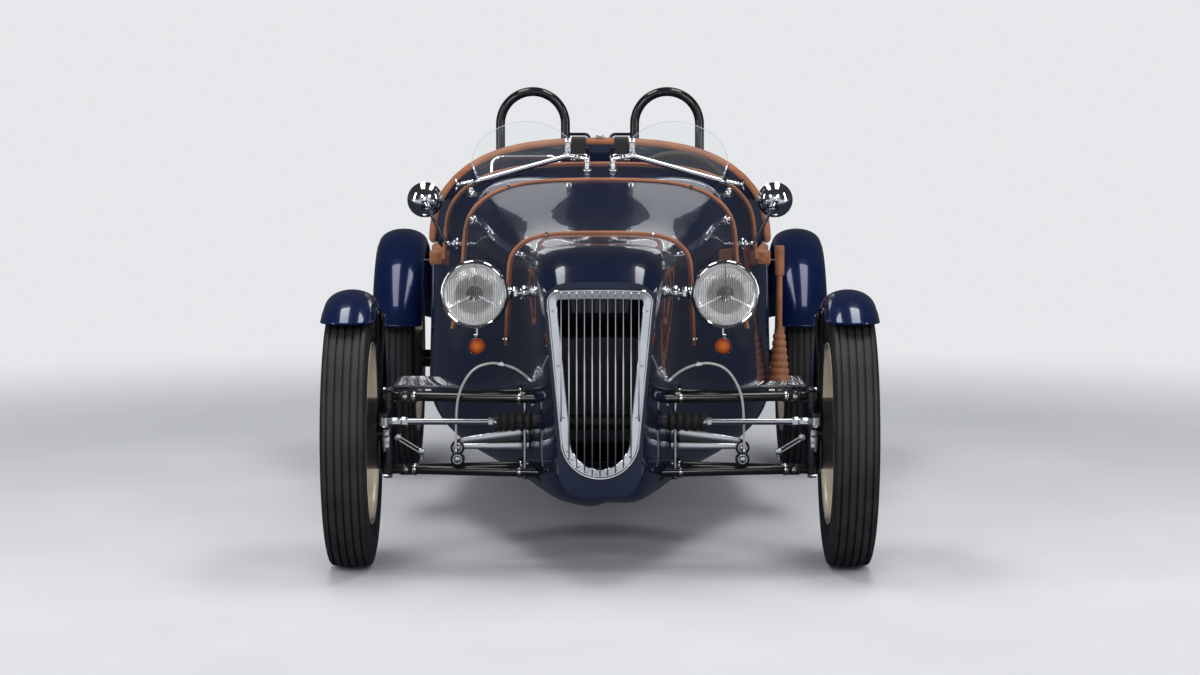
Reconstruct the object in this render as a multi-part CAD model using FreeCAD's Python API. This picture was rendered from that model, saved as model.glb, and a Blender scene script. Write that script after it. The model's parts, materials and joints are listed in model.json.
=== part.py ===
"""Open two-seat roadster on four wire wheels, in the style of the light cars of about 1930.

Millimetres. The car stands on z = 0, faces -Y, and its left side is +X.
The origin is under the middle of its overall box.
"""
import FreeCAD, Part
import math
import os

V = FreeCAD.Vector

# Overall layout
wheelbase = 2200.0
tail_overhang = 660.0
track = 1375.0
seat_gap = 0.3
overrun = 40.0

# Tyres and wire wheels
tyre_radius = 370.0
tyre_width = 125.0
tyre_section = 125.0
rim_width = 104.0
rim_lip = 9.0
rim_well_depth = 18.0
rim_well_width = 50.0
rim_thickness = 9.0
hub_radius = 32.0
hub_inner_offset = 30.0
hub_outer_offset = 48.0
hub_flange_radius = 50.0
hub_outer_flange_radius = 40.0
hub_flange_width = 7.0
hub_cap_radius = 30.0
hub_cap_length = 22.0
hub_cap_shares = (0.7, 0.8)
spoke_radius = 3.0
spoke_sides = 6
spokes_per_flange = 18
spoke_lean_share = 0.85
stub_radius = 15.0
stub_clearance = 0.5
tyre_shares = ((-0.36, 0.0), (-0.50, 0.50), (-0.36, 0.93), (-0.12, 1.0),
               (0.12, 1.0), (0.36, 0.93), (0.50, 0.50), (0.36, 0.0))

# Wings over the wheels
wing_sheet = 3.0
wing_lip = 14.0
wing_crown = 14.0
front_wing_gap = 30.0
front_wing_width = 143.0
front_wing_front_angle = 54.0
front_wing_rear_angle = 7.0
rear_wing_gap = 81.0
rear_wing_width = 161.0
rear_wing_inset = 6.0
rear_wing_front_angle = 19.0
rear_wing_rear_angle = 15.0
wing_stay_radius = 6.0
wing_stay_angles = (62.0, 118.0)

# Body shell
nose_overhang = 330.0
nose_length = 580.0
bonnet_length = 550.0
scuttle_length = 200.0
cockpit_length = 500.0
body_half_width = 540.0
body_drop = 187.0
body_height = 948.0
body_wall = 10.0
bulkhead_thickness = 12.0
waist_height = 410.0
bonnet_gap = 5.0
cockpit_depth = 346.0
cockpit_corner_radius = 60.0

# Rows: span, share along it, then shares of the half width and height:
# shoulder width, shoulder height, hip width, hip height, belly, crown; last the roundness
station_shares = (
    (0, 0.000, 0.278, 0.609, 0.207, 0.166, 0.055, 0.667, 3.0),
    (0, 0.138, 0.311, 0.624, 0.259, 0.176, 0.026, 0.716, 3.1),
    (0, 0.362, 0.344, 0.630, 0.319, 0.197, 0.007, 0.749, 3.5),
    (0, 0.569, 0.376, 0.630, 0.380, 0.218, 0.001, 0.757, 3.6),
    (0, 1.000, 0.485, 0.609, 0.509, 0.229, 0.000, 0.771, 3.7),
    (1, 0.545, 0.639, 0.630, 0.694, 0.250, 0.001, 0.835, 3.4),
    (1, 1.000, 0.761, 0.651, 0.861, 0.271, 0.003, 0.905, 3.2),
    (2, 1.000, 0.889, 0.682, 0.950, 0.282, 0.005, 0.953, 3.0),
    (3, 1.000, 0.991, 0.640, 1.000, 0.292, 0.013, 1.000, 2.65),
    (4, 0.257, 0.926, 0.630, 0.944, 0.303, 0.034, 0.957, 2.6),
    (4, 0.515, 0.778, 0.598, 0.796, 0.324, 0.081, 0.872, 2.5),
    (4, 0.772, 0.556, 0.545, 0.574, 0.355, 0.166, 0.756, 2.4),
    (4, 1.000, 0.241, 0.493, 0.250, 0.398, 0.303, 0.588, 2.2),
)
hip_roundness_share = 3.5
quarter_angles = (20.0, 45.0, 70.0, 90.0)

# Leather piping and padding
bead_radius = 7.0
padding_radius = 16.0
padding_lift_share = 0.5

# Grille
grille_belly_margin = 48.9
grille_top_margin = 18.3
grille_side_margin = 7.1
grille_foot_margin = 3.8
grille_ring = 29.0
grille_ring_depth = 16.0
grille_bar_pitch = 20.7
grille_bar_width = 4.0
grille_bar_depth = 12.0
grille_shoulder_share = 0.918
grille_foot_share = 0.205
grille_corner_shares = ((0.944, 0.973), (0.734, 0.996))

# Ladder frame and front bulkhead
rail_x = 115.0
rail_width = 40.0
rail_height = 60.0
rail_drop = 125.0
rail_front_dy = -150.0
rail_kick_inset = 300.0
rail_rear_inset = 410.0
rail_rear_height = 50.0
cross_member_shares = (0.01, 0.235, 0.62, 0.98)
cross_member_depth = 40.0
tow_post_half_width = 20.0
tow_plate_thickness = 12.0
tow_eye_radius = 26.0
tow_bore_radius = 10.0
tow_eye_reach = 46.0
tow_eye_drop = 149.0
pickup_half_length = 120.0
pickup_thickness = 10.0
pickup_margin = 31.0

# Front suspension
kingpin_inset = 98.5
upper_arm_rise = 104.0
lower_arm_drop = 100.0
arm_radius = 12.5
arm_spread = 85.0
arm_eye_radius = 22.0
arm_eye_height = 24.0
arm_hole_radius = 24.0
arm_hole_share = 0.85
kingpin_radius = 9.0
kingpin_clearance = 0.5
kingpin_overhang = 10.0
upright_radius = 22.0
upright_gap = 2.0
drum_radius = 100.0
drum_gap = 2.0
drum_running_gap = 2.5
rocker_thickness = 12.0
rocker_dy = -38.0
rocker_inset = 175.0
rocker_top_rise = 128.0
rocker_step_rise = 65.0
rocker_slot_radius = 9.0

# Steering
rack_dy = -110.0
rack_rise = 45.0
rack_tube_radius = 20.0
rack_clearance = 1.0
gaiter_radius = 27.5
gaiter_length = 106.0
gaiter_ribs = 5
gaiter_rib_share = 0.72
tie_rod_radius = 8.5
rod_end_radius = 13.0
rod_end_height = 22.0
steering_arm_thickness = 12.0
steering_arm_radius = 15.0
steering_arm_gap = 1.5
steering_wheel_x = 240.0
steering_wheel_back = 290.0
steering_wheel_drop = 181.0
steering_wheel_radius = 170.0
steering_rim_radius = 12.0
steering_rake = 22.0
steering_hub_radius = 30.0
steering_hub_depth = 28.0
steering_spoke_width = 22.0
steering_spoke_thickness = 5.0
steering_spokes = 3
steering_spoke_angle = 60.0
column_radius = 12.0
column_length = 400.0
column_clearance = 0.4
column_boss_radius = 26.0
column_boss_length = 40.0

# Brake hose
hose_radius = 5.0
hose_dy = -68.0
hose_union_size = 16.0

# Lamps
lamp_reach = 136.2
lamp_height_share = 0.6065
lamp_dy = -20.0
lamp_radius = 95.0
lamp_depth = 170.0
lens_radius = 85.0
lens_depth = 12.0
lens_dome = 14.0
lens_shares = ((1.0, 0.0), (0.5, 0.75), (0.0, 1.0))
lamp_bracket_radius = 12.0
lamp_bracket_dy = 40.0
indicator_inset = 6.0
indicator_gap = 26.0
indicator_radius = 25.0
indicator_depth = 45.0
indicator_dy = -5.0
indicator_stalk_radius = 6.0
tail_lamp_x = 85.0
tail_lamp_rise = 477.0
tail_lamp_radius = 32.0
tail_lamp_depth = 22.0
tail_lamp_boss_margin = 4.0
tail_lamp_boss_height = 3.0
lamp_shares = ((1.0, 0.0), (1.0, 0.09), (0.93, 0.2), (0.8, 0.45), (0.5, 0.8), (0.0, 1.0))

# Screens
screen_inset = 80.0
screen_glass_thickness = 6.0
screen_bar_radius = 8.0
screen_knob_radius = 14.0
screen_knob_width = 22.0
screen_foot_radius = 9.0
screen_outer_x = 372.0
screen_outer_lift = 21.8
screen_inner_x = 98.0
screen_inner_lift = 42.4
screen_upright = 55.0
screen_rise = 125.0
screen_lean_x = 19.0
screen_side_shares = (0.90, 0.55)
screen_shoulder_shares = (0.73, 0.84)
screen_crown_share = 0.385

# Mirrors
mirror_inset = 100.0
mirror_reach = 64.0
mirror_rise = 132.0
mirror_radius = 54.0
mirror_depth = 40.0
mirror_shares = ((1.0, 0.0), (0.86, 0.5), (0.5, 0.87), (0.0, 1.0))
mirror_arm_radius = 6.0
mirror_arm_bend = 24.0
mirror_elbow_reach = 25.2
mirror_elbow_drop = 218.2

# Roll hoops
hoop_back = 200.0
hoop_x = 221.0
hoop_radius = 107.0
hoop_rise = 78.9
hoop_tube_radius = 15.0
guide_radius = 5.0
guide_bend = 15.0
guide_drop = 33.0
guide_height = 35.0
guide_inner_x = 35.0

# Seats and belts
seat_gap_middle = 30.0
seat_outer_x = 455.0
seat_length = 350.0
seat_cushion_height = 135.0
seat_back_thickness = 110.0
seat_back_drop = 251.0
belt_width = 45.0
belt_inner_x = 46.0
belt_thickness = 3.0

# Power unit, axle, steps, lever, grab bar
block_half_width = 150.0
block_front_gap = 110.0
block_length = 360.0
block_height = 300.0
axle_tube_radius = 30.0
axle_housing_radius = 95.0
axle_housing_half_width = 90.0
axle_hole_clearance = 12.0
saddle_height = 5.0
step_reach = 91.0
step_front_inset = 100.0
step_length = 274.0
step_rise = 41.0
step_thickness = 6.0
step_bracket_radius = 9.0
step_bracket_shares = (0.25, 0.75)
lever_reach = 17.0
lever_back = 50.0
lever_boot_radius = 34.0
lever_boot_neck = 17.0
lever_boot_height = 156.7
lever_rod_radius = 9.0
lever_rod_height = 170.0
lever_grip_radius = 16.0
lever_grip_height = 94.0
grab_inner_x = 125.0
grab_side_gap = 104.0
grab_foot_drop = 101.4
grab_rise = 119.0
grab_back = 150.0
grab_radius = 7.5
grab_bend = 45.0
dash_thickness = 16.0
dash_foot_rise = 47.0

# Places along the car
overall_length = tyre_radius + wheelbase + tail_overhang
front_axle_y = tyre_radius - overall_length / 2
rear_axle_y = front_axle_y + wheelbase
tail_y = overall_length / 2
body_end_y = tail_y - tail_lamp_depth
nose_y = front_axle_y - nose_overhang
nose_seam_y = nose_y + nose_length
bonnet_seam_y = nose_seam_y + bonnet_length
scuttle_seam_y = bonnet_seam_y + scuttle_length
cockpit_end_y = scuttle_seam_y + cockpit_length
span_ys = (nose_y, nose_seam_y, bonnet_seam_y, scuttle_seam_y, cockpit_end_y, body_end_y)
rail_front_y = front_axle_y + rail_front_dy
rail_kick_y = rear_axle_y - rail_kick_inset
rail_rear_y = tail_y - rail_rear_inset
reach = overall_length

# Heights, all from the hubs
body_base_z = tyre_radius - body_drop
body_top_z = body_base_z + body_height
waist_z = body_base_z + waist_height
cockpit_sill_z = body_top_z - cockpit_depth
rail_z = tyre_radius - rail_drop
rail_top_z = rail_z + rail_height
rail_kick_z = tyre_radius + axle_tube_radius + saddle_height
tow_eye_z = rail_kick_z - tow_eye_drop
upper_arm_z = tyre_radius + upper_arm_rise
lower_arm_z = tyre_radius - lower_arm_drop
rack_z = tyre_radius + rack_rise
rocker_top_z = lower_arm_z + rocker_top_rise
rocker_step_z = lower_arm_z + rocker_step_rise
step_z = tyre_radius + step_rise

# Places across the car and radii
hub_x = track / 2
kingpin_x = hub_x - kingpin_inset
drum_inner_x = kingpin_x + upright_radius + drum_gap
drum_outer_x = hub_x - hub_inner_offset - drum_running_gap
rocker_outer_x = kingpin_x - rocker_inset
tyre_bead_radius = tyre_radius - tyre_section
front_wing_radius = tyre_radius + front_wing_gap
rear_wing_radius = tyre_radius + rear_wing_gap

# The grille follows the nose's front section
nose_shares = station_shares[0]
grille_half_width = nose_shares[2] * body_half_width - grille_side_margin
grille_foot_half_width = nose_shares[4] * body_half_width - grille_foot_margin
grille_base_z = body_base_z + nose_shares[6] * body_height + grille_belly_margin
grille_top_z = body_base_z + nose_shares[7] * body_height - grille_top_margin
grille_height = grille_top_z - grille_base_z
grille_bars_each_side = int((grille_half_width - grille_ring) / grille_bar_pitch)


def box(x0, x1, y0, y1, z0, z1):
    """Box between two corners."""
    return Part.makeBox(x1 - x0, y1 - y0, z1 - z0, V(x0, y0, z0))


def rod(start, end, radius):
    """Round bar from one point to another."""
    return Part.makeCylinder(radius, (end - start).Length, start, end - start)


def fuse(shapes):
    """One solid from shapes that touch or overlap."""
    return shapes[0].multiFuse(shapes[1:]).removeSplitter()


def mirrored(shape):
    """The same shape on the other side of the car."""
    return shape.mirror(V(0, 0, 0), V(1, 0, 0))


def both_sides(shape):
    """A shape and its mirror image as two solids of one piece."""
    return Part.makeCompound([shape, mirrored(shape)])


def turned(points, centre, axis, angle=360.0):
    """Solid of revolution of a closed outline of points."""
    face = Part.Face(Part.makePolygon(list(points) + [points[0]]))
    return face.revolve(centre, axis, angle)


def plate(points, thickness_vector):
    """Flat plate from a closed outline of points."""
    return Part.Face(Part.makePolygon(list(points) + [points[0]])).extrude(thickness_vector)


def bent_rod(points, bends, radius):
    """Round bar along straight runs joined by tangent arcs, one bend radius for each corner."""
    edges = []
    start = points[0]
    for i, bend in enumerate(bends, 1):
        before = (points[i - 1] - points[i]).normalize()
        after = (points[i + 1] - points[i]).normalize()
        half = before.getAngle(after) / 2
        reach_back = bend / math.tan(half)
        entry = points[i] + before * reach_back
        leave = points[i] + after * reach_back
        middle_way = (before + after).normalize()
        middle = points[i] + middle_way * (bend / math.sin(half) - bend)
        edges.append(Part.LineSegment(start, entry).toShape())
        edges.append(Part.Arc(entry, middle, leave).toShape())
        start = leave
    edges.append(Part.LineSegment(start, points[-1]).toShape())
    ring = Part.Wire(Part.makeCircle(radius, points[0], points[1] - points[0]))
    return Part.Wire(edges).makePipeShell([ring], True, False)


def station_y(row):
    """Place along the car of a row of the station table."""
    span = row[0]
    return span_ys[span] + row[1] * (span_ys[span + 1] - span_ys[span])


def quarter(width, height, roundness, angle):
    """Offsets along a rounded quarter, at an angle from the middle of its flat."""
    turn = math.radians(angle)
    return width * math.sin(turn) ** (2 / roundness), height * math.cos(turn) ** (2 / roundness)


def section_points(row, inset, y):
    """Points round one cross section, from the belly over the left side to the crown and back."""
    shoulder_x = row[2] * body_half_width - inset
    shoulder_z = row[3] * body_height + body_base_z
    hip_x = row[4] * body_half_width - inset
    hip_z = row[5] * body_height + body_base_z
    belly_z = row[6] * body_height + body_base_z + inset
    top_z = row[7] * body_height + body_base_z - inset
    side = []
    for angle in quarter_angles:
        out, down = quarter(hip_x, hip_z - belly_z, hip_roundness_share, angle)
        side.append((out, hip_z - down))
    for angle in reversed(quarter_angles):
        out, up = quarter(shoulder_x, top_z - shoulder_z, row[8], angle)
        side.append((out, shoulder_z + up))
    ring = [(0, belly_z)] + side + [(0, top_z)] + [(-x, z) for x, z in reversed(side)]
    return [V(x, y, z) for x, z in ring]


def ring_parameters():
    """Parameters shared by every cross section, from the lengths along the widest one."""
    points = section_points(station_shares[8], 0, 0)
    lengths = [0.0]
    for start, end in zip(points, points[1:] + points[:1]):
        lengths.append(lengths[-1] + (end - start).Length)
    return [length / lengths[-1] for length in lengths]


def section_curve(row, inset, y):
    """Closed smooth curve of one cross section."""
    curve = Part.BSplineCurve()
    curve.interpolate(Points=section_points(row, inset, y), PeriodicFlag=True,
                      Parameters=ring_parameters())
    return curve


def body_form(inset, end_inset):
    """Solid of the whole body's form, moved inwards by an inset."""
    rings = []
    for row in station_shares:
        y = station_y(row)
        if row is station_shares[0]:
            y += end_inset
        if row is station_shares[-1]:
            y -= end_inset
        rings.append(Part.Wire(section_curve(row, inset, y).toShape()))
    return Part.makeLoft(rings, True, False)


def slab(y0, y1, z0=-reach, z1=reach):
    """All of the space between two cross planes, and between two heights."""
    return box(-reach, reach, y0, y1, z0, z1)


skin = body_form(0, 0)
hollow = body_form(body_wall, body_wall)
lining = body_form(body_wall + seat_gap, body_wall + seat_gap)
clear_of_skin = body_form(-seat_gap, -seat_gap)


def skin_x(y, z):
    """Half width of the body's outside at a place."""
    line = Part.makeLine(V(0, y, z), V(reach, y, z))
    return skin.common(line).BoundBox.XMax


def skin_z(x, y):
    """Height of the body's outside over a place."""
    line = Part.makeLine(V(x, y, waist_z), V(x, y, reach))
    return skin.common(line).BoundBox.ZMax


def crown_z(y):
    """Height of the body's crown at a place along it."""
    return skin_z(0, y)


def outside(shape):
    """The part of a shape that stands clear of the body's skin."""
    return max(shape.cut(clear_of_skin).Solids, key=lambda solid: solid.Volume)


def grille_outline(inset, y):
    """Face of the grille's keyhole outline, moved inwards by an inset."""
    foot_z = grille_base_z + grille_foot_share * grille_height
    shoulder_z = grille_base_z + grille_shoulder_share * grille_height
    half = grille_half_width - inset
    foot = grille_foot_half_width - inset
    base = grille_base_z + inset
    top = grille_top_z - inset
    corner, crown = [(x_share * half, base + z_share * (top - base)) for x_share, z_share
                     in grille_corner_shares]
    right = [V(foot, y, foot_z), V(half, y, shoulder_z), V(corner[0], y, corner[1]),
             V(crown[0], y, crown[1])]
    left = [V(-point.x, y, point.z) for point in right]
    edges = [
        Part.Arc(left[0], V(0, y, base), right[0]).toShape(),
        Part.LineSegment(right[0], right[1]).toShape(),
        Part.Arc(right[1], right[2], right[3]).toShape(),
        Part.Arc(right[3], V(0, y, top), left[3]).toShape(),
        Part.Arc(left[3], left[2], left[1]).toShape(),
        Part.LineSegment(left[1], left[0]).toShape(),
    ]
    return Part.Face(Part.Wire(edges))


def make_grille():
    """Bright keyhole ring with its upright bars joined to it."""
    back = nose_y - seat_gap
    front = back - grille_ring_depth
    depth = V(0, grille_ring_depth, 0)
    window = grille_outline(grille_ring, front).extrude(depth)
    ring = grille_outline(0, front).extrude(depth).cut(window)
    pieces = [ring]
    under_ring = grille_outline(grille_ring / 2, front).extrude(depth)
    for i in range(-grille_bars_each_side, grille_bars_each_side + 1):
        x = i * grille_bar_pitch
        bar = box(x - grille_bar_width / 2, x + grille_bar_width / 2,
                  back - grille_bar_depth, back, grille_base_z, grille_top_z)
        pieces.append(bar.common(under_ring))
    return fuse(pieces)


def arm_legs(z):
    """End points of the two legs of a wishbone on the left side."""
    inner_x = rail_x + rail_width / 2 + seat_gap
    eye = V(kingpin_x, front_axle_y, z)
    return eye, [V(inner_x, front_axle_y + side * arm_spread, z) for side in (-1, 1)]


def make_wishbone(z):
    """One wishbone on the left side: two legs and the kingpin's eye."""
    eye, feet = arm_legs(z)
    top = V(0, 0, arm_eye_height / 2)
    ring = rod(eye - top, eye + top, arm_eye_radius)
    pieces = [ring]
    for foot in feet:
        pieces.append(rod(foot, eye, arm_radius))
    arm = fuse(pieces)
    bore = rod(eye - top * 2, eye + top * 2, kingpin_radius + kingpin_clearance)
    inner_x = feet[0].x
    inside = box(-reach, inner_x, -reach, reach, -reach, reach)
    clear = box(eye.x - upright_radius * 2, eye.x + upright_radius * 2, eye.y - upright_radius * 2,
                eye.y + upright_radius * 2, z - reach, z - arm_eye_height / 2)
    above = clear.translated(V(0, 0, reach + arm_eye_height))
    return arm.cut(bore).cut(inside).cut(clear).cut(above)


def make_suspension_arms():
    """Upper and lower wishbones of both sides."""
    arms = [make_wishbone(upper_arm_z), make_wishbone(lower_arm_z)]
    return Part.makeCompound(arms + [mirrored(arm) for arm in arms])


def side_holes():
    """Cuts where the wishbones and the rack pass through the nose's sides."""
    cuts = []
    for z in (upper_arm_z, lower_arm_z):
        eye, feet = arm_legs(z)
        for foot in feet:
            cuts.append(rod(foot, foot + (eye - foot) * arm_hole_share, arm_hole_radius))
    rack = V(0, front_axle_y + rack_dy, rack_z)
    cuts.append(rod(rack, rack + V(kingpin_x, 0, 0), rack_tube_radius + seat_gap))
    return cuts + [mirrored(cut) for cut in cuts]


def shell_walls():
    """Body shell with its firewall and the bulkhead behind the seats."""
    shell = skin
    rooms = ((nose_y, bonnet_seam_y), (bonnet_seam_y + bulkhead_thickness, cockpit_end_y),
             (cockpit_end_y + bulkhead_thickness, body_end_y))
    for start, end in rooms:
        shell = shell.cut(hollow.common(slab(start, end)))
    return shell


def cockpit_cut():
    """Opening through the body's sides and top between the scuttle and the seat backs."""
    radius = cockpit_corner_radius
    y0 = scuttle_seam_y
    y1 = cockpit_end_y
    lower = box(-reach, reach, y0 + radius, y1 - radius, cockpit_sill_z, reach)
    upper = box(-reach, reach, y0, y1, cockpit_sill_z + radius, reach)
    pieces = [lower, upper]
    for y in (y0 + radius, y1 - radius):
        centre = V(-reach, y, cockpit_sill_z + radius)
        pieces.append(rod(centre, centre + V(2 * reach, 0, 0), radius))
    return fuse(pieces)


def frame_clearance():
    """Space that the frame, the rear axle and the towing eye's post need through the shell."""
    x0 = rail_x - rail_width / 2 - seat_gap
    x1 = rail_x + rail_width / 2 + seat_gap
    y1 = rail_kick_y + rail_height + seat_gap
    rail = box(x0, x1, rail_front_y - seat_gap, y1, rail_z - seat_gap, rail_top_z + seat_gap)
    axle = V(0, rear_axle_y, tyre_radius)
    tube = rod(axle, axle + V(hub_x, 0, 0), axle_tube_radius + axle_hole_clearance)
    side = V(axle_housing_half_width + axle_hole_clearance, 0, 0)
    housing = rod(axle - side, axle + side, axle_housing_radius + axle_hole_clearance)
    half = tow_post_half_width + seat_gap
    tow_y = rail_rear_y - tow_post_half_width
    post = box(-half, half, tow_y - half, tow_y + half, tow_eye_z, rail_kick_z)
    return [rail, mirrored(rail), tube, mirrored(tube), housing, post]


walls = shell_walls().cut(side_holes())


def make_nose_cowl():
    """Fixed nose, open behind the grille, with the lower sides of the bay under the bonnet."""
    front = slab(nose_y - overrun, nose_seam_y)
    lower = slab(nose_y, bonnet_seam_y, -reach, waist_z)
    opening = grille_outline(grille_ring / 2, nose_y - overrun).extrude(V(0, 2 * overrun, 0))
    return walls.common(front.fuse(lower)).cut(opening)


def make_bonnet():
    """Lift-off bonnet above the waist, between the nose and the scuttle."""
    room = slab(nose_seam_y + bonnet_gap, bonnet_seam_y - bonnet_gap, waist_z + seat_gap)
    return walls.common(room)


def make_scuttle():
    """Scuttle over the driver's and passenger's knees, with the upper firewall."""
    return walls.common(slab(bonnet_seam_y, scuttle_seam_y, waist_z))


def make_rear_body():
    """Cockpit sides above the waist, and the whole boat tail behind the bulkhead."""
    upper = slab(scuttle_seam_y, body_end_y + overrun, waist_z)
    tail = slab(cockpit_end_y + bulkhead_thickness, body_end_y + overrun)
    body = walls.common(upper.fuse(tail)).cut([cockpit_cut()] + frame_clearance())
    boss = rod(tail_lamp_seat() - V(0, tail_lamp_boss_height + body_wall / 2, 0), tail_lamp_seat(),
               tail_lamp_radius + tail_lamp_boss_margin)
    return fuse([body, boss, mirrored(boss)])


def make_body_tub():
    """Floor and lower sides of the cockpit from the firewall to the bulkhead behind the seats."""
    room = slab(bonnet_seam_y, cockpit_end_y + bulkhead_thickness, -reach, waist_z)
    return walls.common(room).cut(frame_clearance())


def upper_curve(row, y, foot_z, outset):
    """Edge over the top of a cross section, between two feet at one height."""
    curve = section_curve(row, -outset, y)
    parameters = ring_parameters()
    low, high = parameters[len(quarter_angles)], parameters[len(quarter_angles) + 1]
    while high - low > seat_gap / reach:
        middle = (low + high) / 2
        if curve.value(middle).z < foot_z:
            low = middle
        else:
            high = middle
    return curve.toShape(low, parameters[-1] - low)


def make_roll(row, y, foot_z, outset, radius):
    """Round roll over the body along one cross section, cut clear of the skin."""
    edge = upper_curve(row, y, foot_z, outset)
    start = edge.valueAt(edge.FirstParameter)
    ring = Part.Wire(Part.makeCircle(radius, start, edge.tangentAt(edge.FirstParameter)))
    roll = Part.Wire([edge]).makePipeShell([ring], True, False)
    return outside(roll)


def make_leather_beads():
    """Piping on the seams of the nose, the scuttle and the cockpit's front edge."""
    return Part.makeCompound([
        make_roll(station_shares[4], nose_seam_y - bead_radius, waist_z, 0, bead_radius),
        make_roll(station_shares[6], bonnet_seam_y + bead_radius, waist_z, 0, bead_radius),
        make_roll(station_shares[7], scuttle_seam_y - bead_radius, cockpit_sill_z + bead_radius, 0,
                  bead_radius),
    ])


def make_cockpit_padding():
    """Padded roll along the cockpit's rear edge, and one along each side's top."""
    rear_y = cockpit_end_y + padding_radius
    rear = make_roll(station_shares[8], rear_y, cockpit_sill_z + cockpit_corner_radius,
                     padding_radius * padding_lift_share, padding_radius)
    z = cockpit_sill_z + seat_gap + padding_radius
    front_y = scuttle_seam_y + cockpit_corner_radius
    end_y = cockpit_end_y - cockpit_corner_radius
    start = V(skin_x(front_y, cockpit_sill_z) - padding_radius * padding_lift_share, front_y, z)
    end = V(skin_x(end_y, cockpit_sill_z) - padding_radius * padding_lift_share, end_y, z)
    return Part.makeCompound([rear, rod(start, end, padding_radius),
                              mirrored(rod(start, end, padding_radius))])


def make_frame_rails():
    """Two side rails with kicked-up rear ends and upright pick-up plates at the front."""
    x0 = rail_x - rail_width / 2
    x1 = rail_x + rail_width / 2
    post_end = rail_kick_y + rail_height
    rear_top_z = rail_kick_z + rail_rear_height
    rail = fuse([
        box(x0, x1, rail_front_y, post_end, rail_z, rail_top_z),
        box(x0, x1, rail_kick_y, post_end, rail_z, rear_top_z),
        box(x0, x1, rail_kick_y, rail_rear_y, rail_kick_z, rear_top_z),
        box(x1 - pickup_thickness, x1, front_axle_y - pickup_half_length,
            front_axle_y + pickup_half_length, rail_z, upper_arm_z + pickup_margin),
    ])
    rack = V(0, front_axle_y + rack_dy, rack_z)
    return both_sides(rail.cut(rod(rack, rack + V(reach, 0, 0), rack_tube_radius + seat_gap)))


def make_cross_members():
    """Members between the rails, the rear one with the towing eye hung under it."""
    half_x = rail_x - rail_width / 2
    half_y = cross_member_depth / 2
    members = []
    for share in cross_member_shares:
        y = rail_front_y + share * (rail_kick_y - rail_front_y)
        members.append(box(-half_x, half_x, y - half_y, y + half_y, rail_z, rail_top_z))
    y = rail_rear_y - tow_post_half_width
    rear = box(-half_x, half_x, y - half_y, y + half_y, rail_kick_z, rail_kick_z + rail_rear_height)
    return Part.makeCompound(members + [fuse([rear] + tow_eye_pieces(y))])


def tow_eye_pieces(y):
    """Post and bored plate of the towing eye."""
    half = tow_post_half_width
    eye = V(0, y + tow_eye_reach, tow_eye_z)
    thick = V(0, 0, tow_plate_thickness)
    post = box(-half, half, y - half, y + half, tow_eye_z, rail_kick_z)
    tongue = box(-half, half, y, eye.y, tow_eye_z, tow_eye_z + tow_plate_thickness)
    bore = rod(eye, eye + thick, tow_bore_radius)
    return [post, fuse([tongue, rod(eye, eye + thick, tow_eye_radius)]).cut(bore)]


def make_power_block():
    """Plain block of the power unit on the rails under the bonnet."""
    y0 = nose_seam_y + block_front_gap
    z0 = rail_top_z + seat_gap
    return box(-block_half_width, block_half_width, y0, y0 + block_length, z0, z0 + block_height)


def make_rockers():
    """Polished slotted rocker between each lower wishbone and the nose."""
    y = front_axle_y + rocker_dy + rocker_thickness / 2
    base = lower_arm_z + arm_radius + seat_gap
    inner_x = skin_x(y, rocker_step_z) + seat_gap
    step = rocker_step_z - base
    outline = [V(rocker_outer_x, y, base), V(rocker_outer_x, y, base + step),
               V(inner_x, y, rocker_top_z), V(inner_x, y, rocker_step_z),
               V(rocker_outer_x - 2 * step, y, base)]
    rocker = plate(outline, V(0, -rocker_thickness, 0))
    slot_z = (rocker_step_z + rocker_top_z) / 2 - rocker_slot_radius
    slot_x = (inner_x + rocker_outer_x) / 2
    slot_half = rocker_slot_radius * 2
    cuts = [rod(V(slot_x + side * slot_half, y + overrun, slot_z),
                V(slot_x + side * slot_half, y - overrun, slot_z), rocker_slot_radius)
            for side in (-1, 1)]
    cuts.append(box(slot_x - slot_half, slot_x + slot_half, y - overrun, y + overrun,
                    slot_z - rocker_slot_radius, slot_z + rocker_slot_radius))
    half = hose_union_size / 2
    union_x = rocker_outer_x - hose_union_size
    union = box(union_x - half, union_x + half, front_axle_y + hose_dy - half, y,
                base + step - hose_union_size * 2, base + step - hose_union_size)
    return both_sides(outside(fuse([rocker.cut(cuts), union])))


def make_brake_hoses():
    """Hose from each side of the nose over the wishbones down to its union."""
    y = front_axle_y + hose_dy
    base = lower_arm_z + arm_radius + seat_gap
    end_z = rocker_step_z - hose_union_size + seat_gap
    end_x = rocker_outer_x - hose_union_size
    rise = rocker_step_z - base
    start_z = upper_arm_z + rise
    points = [V(0, y, start_z), V(skin_x(y, start_z) + rise, y, start_z + rise),
              V(end_x - rise / 2, y, start_z), V(end_x, y, end_z - hose_radius)]
    hose = bent_rod(points, (rise * 2, rise), hose_radius)
    return both_sides(outside(hose.cut(slab(-reach, reach, -reach, end_z))))


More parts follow.
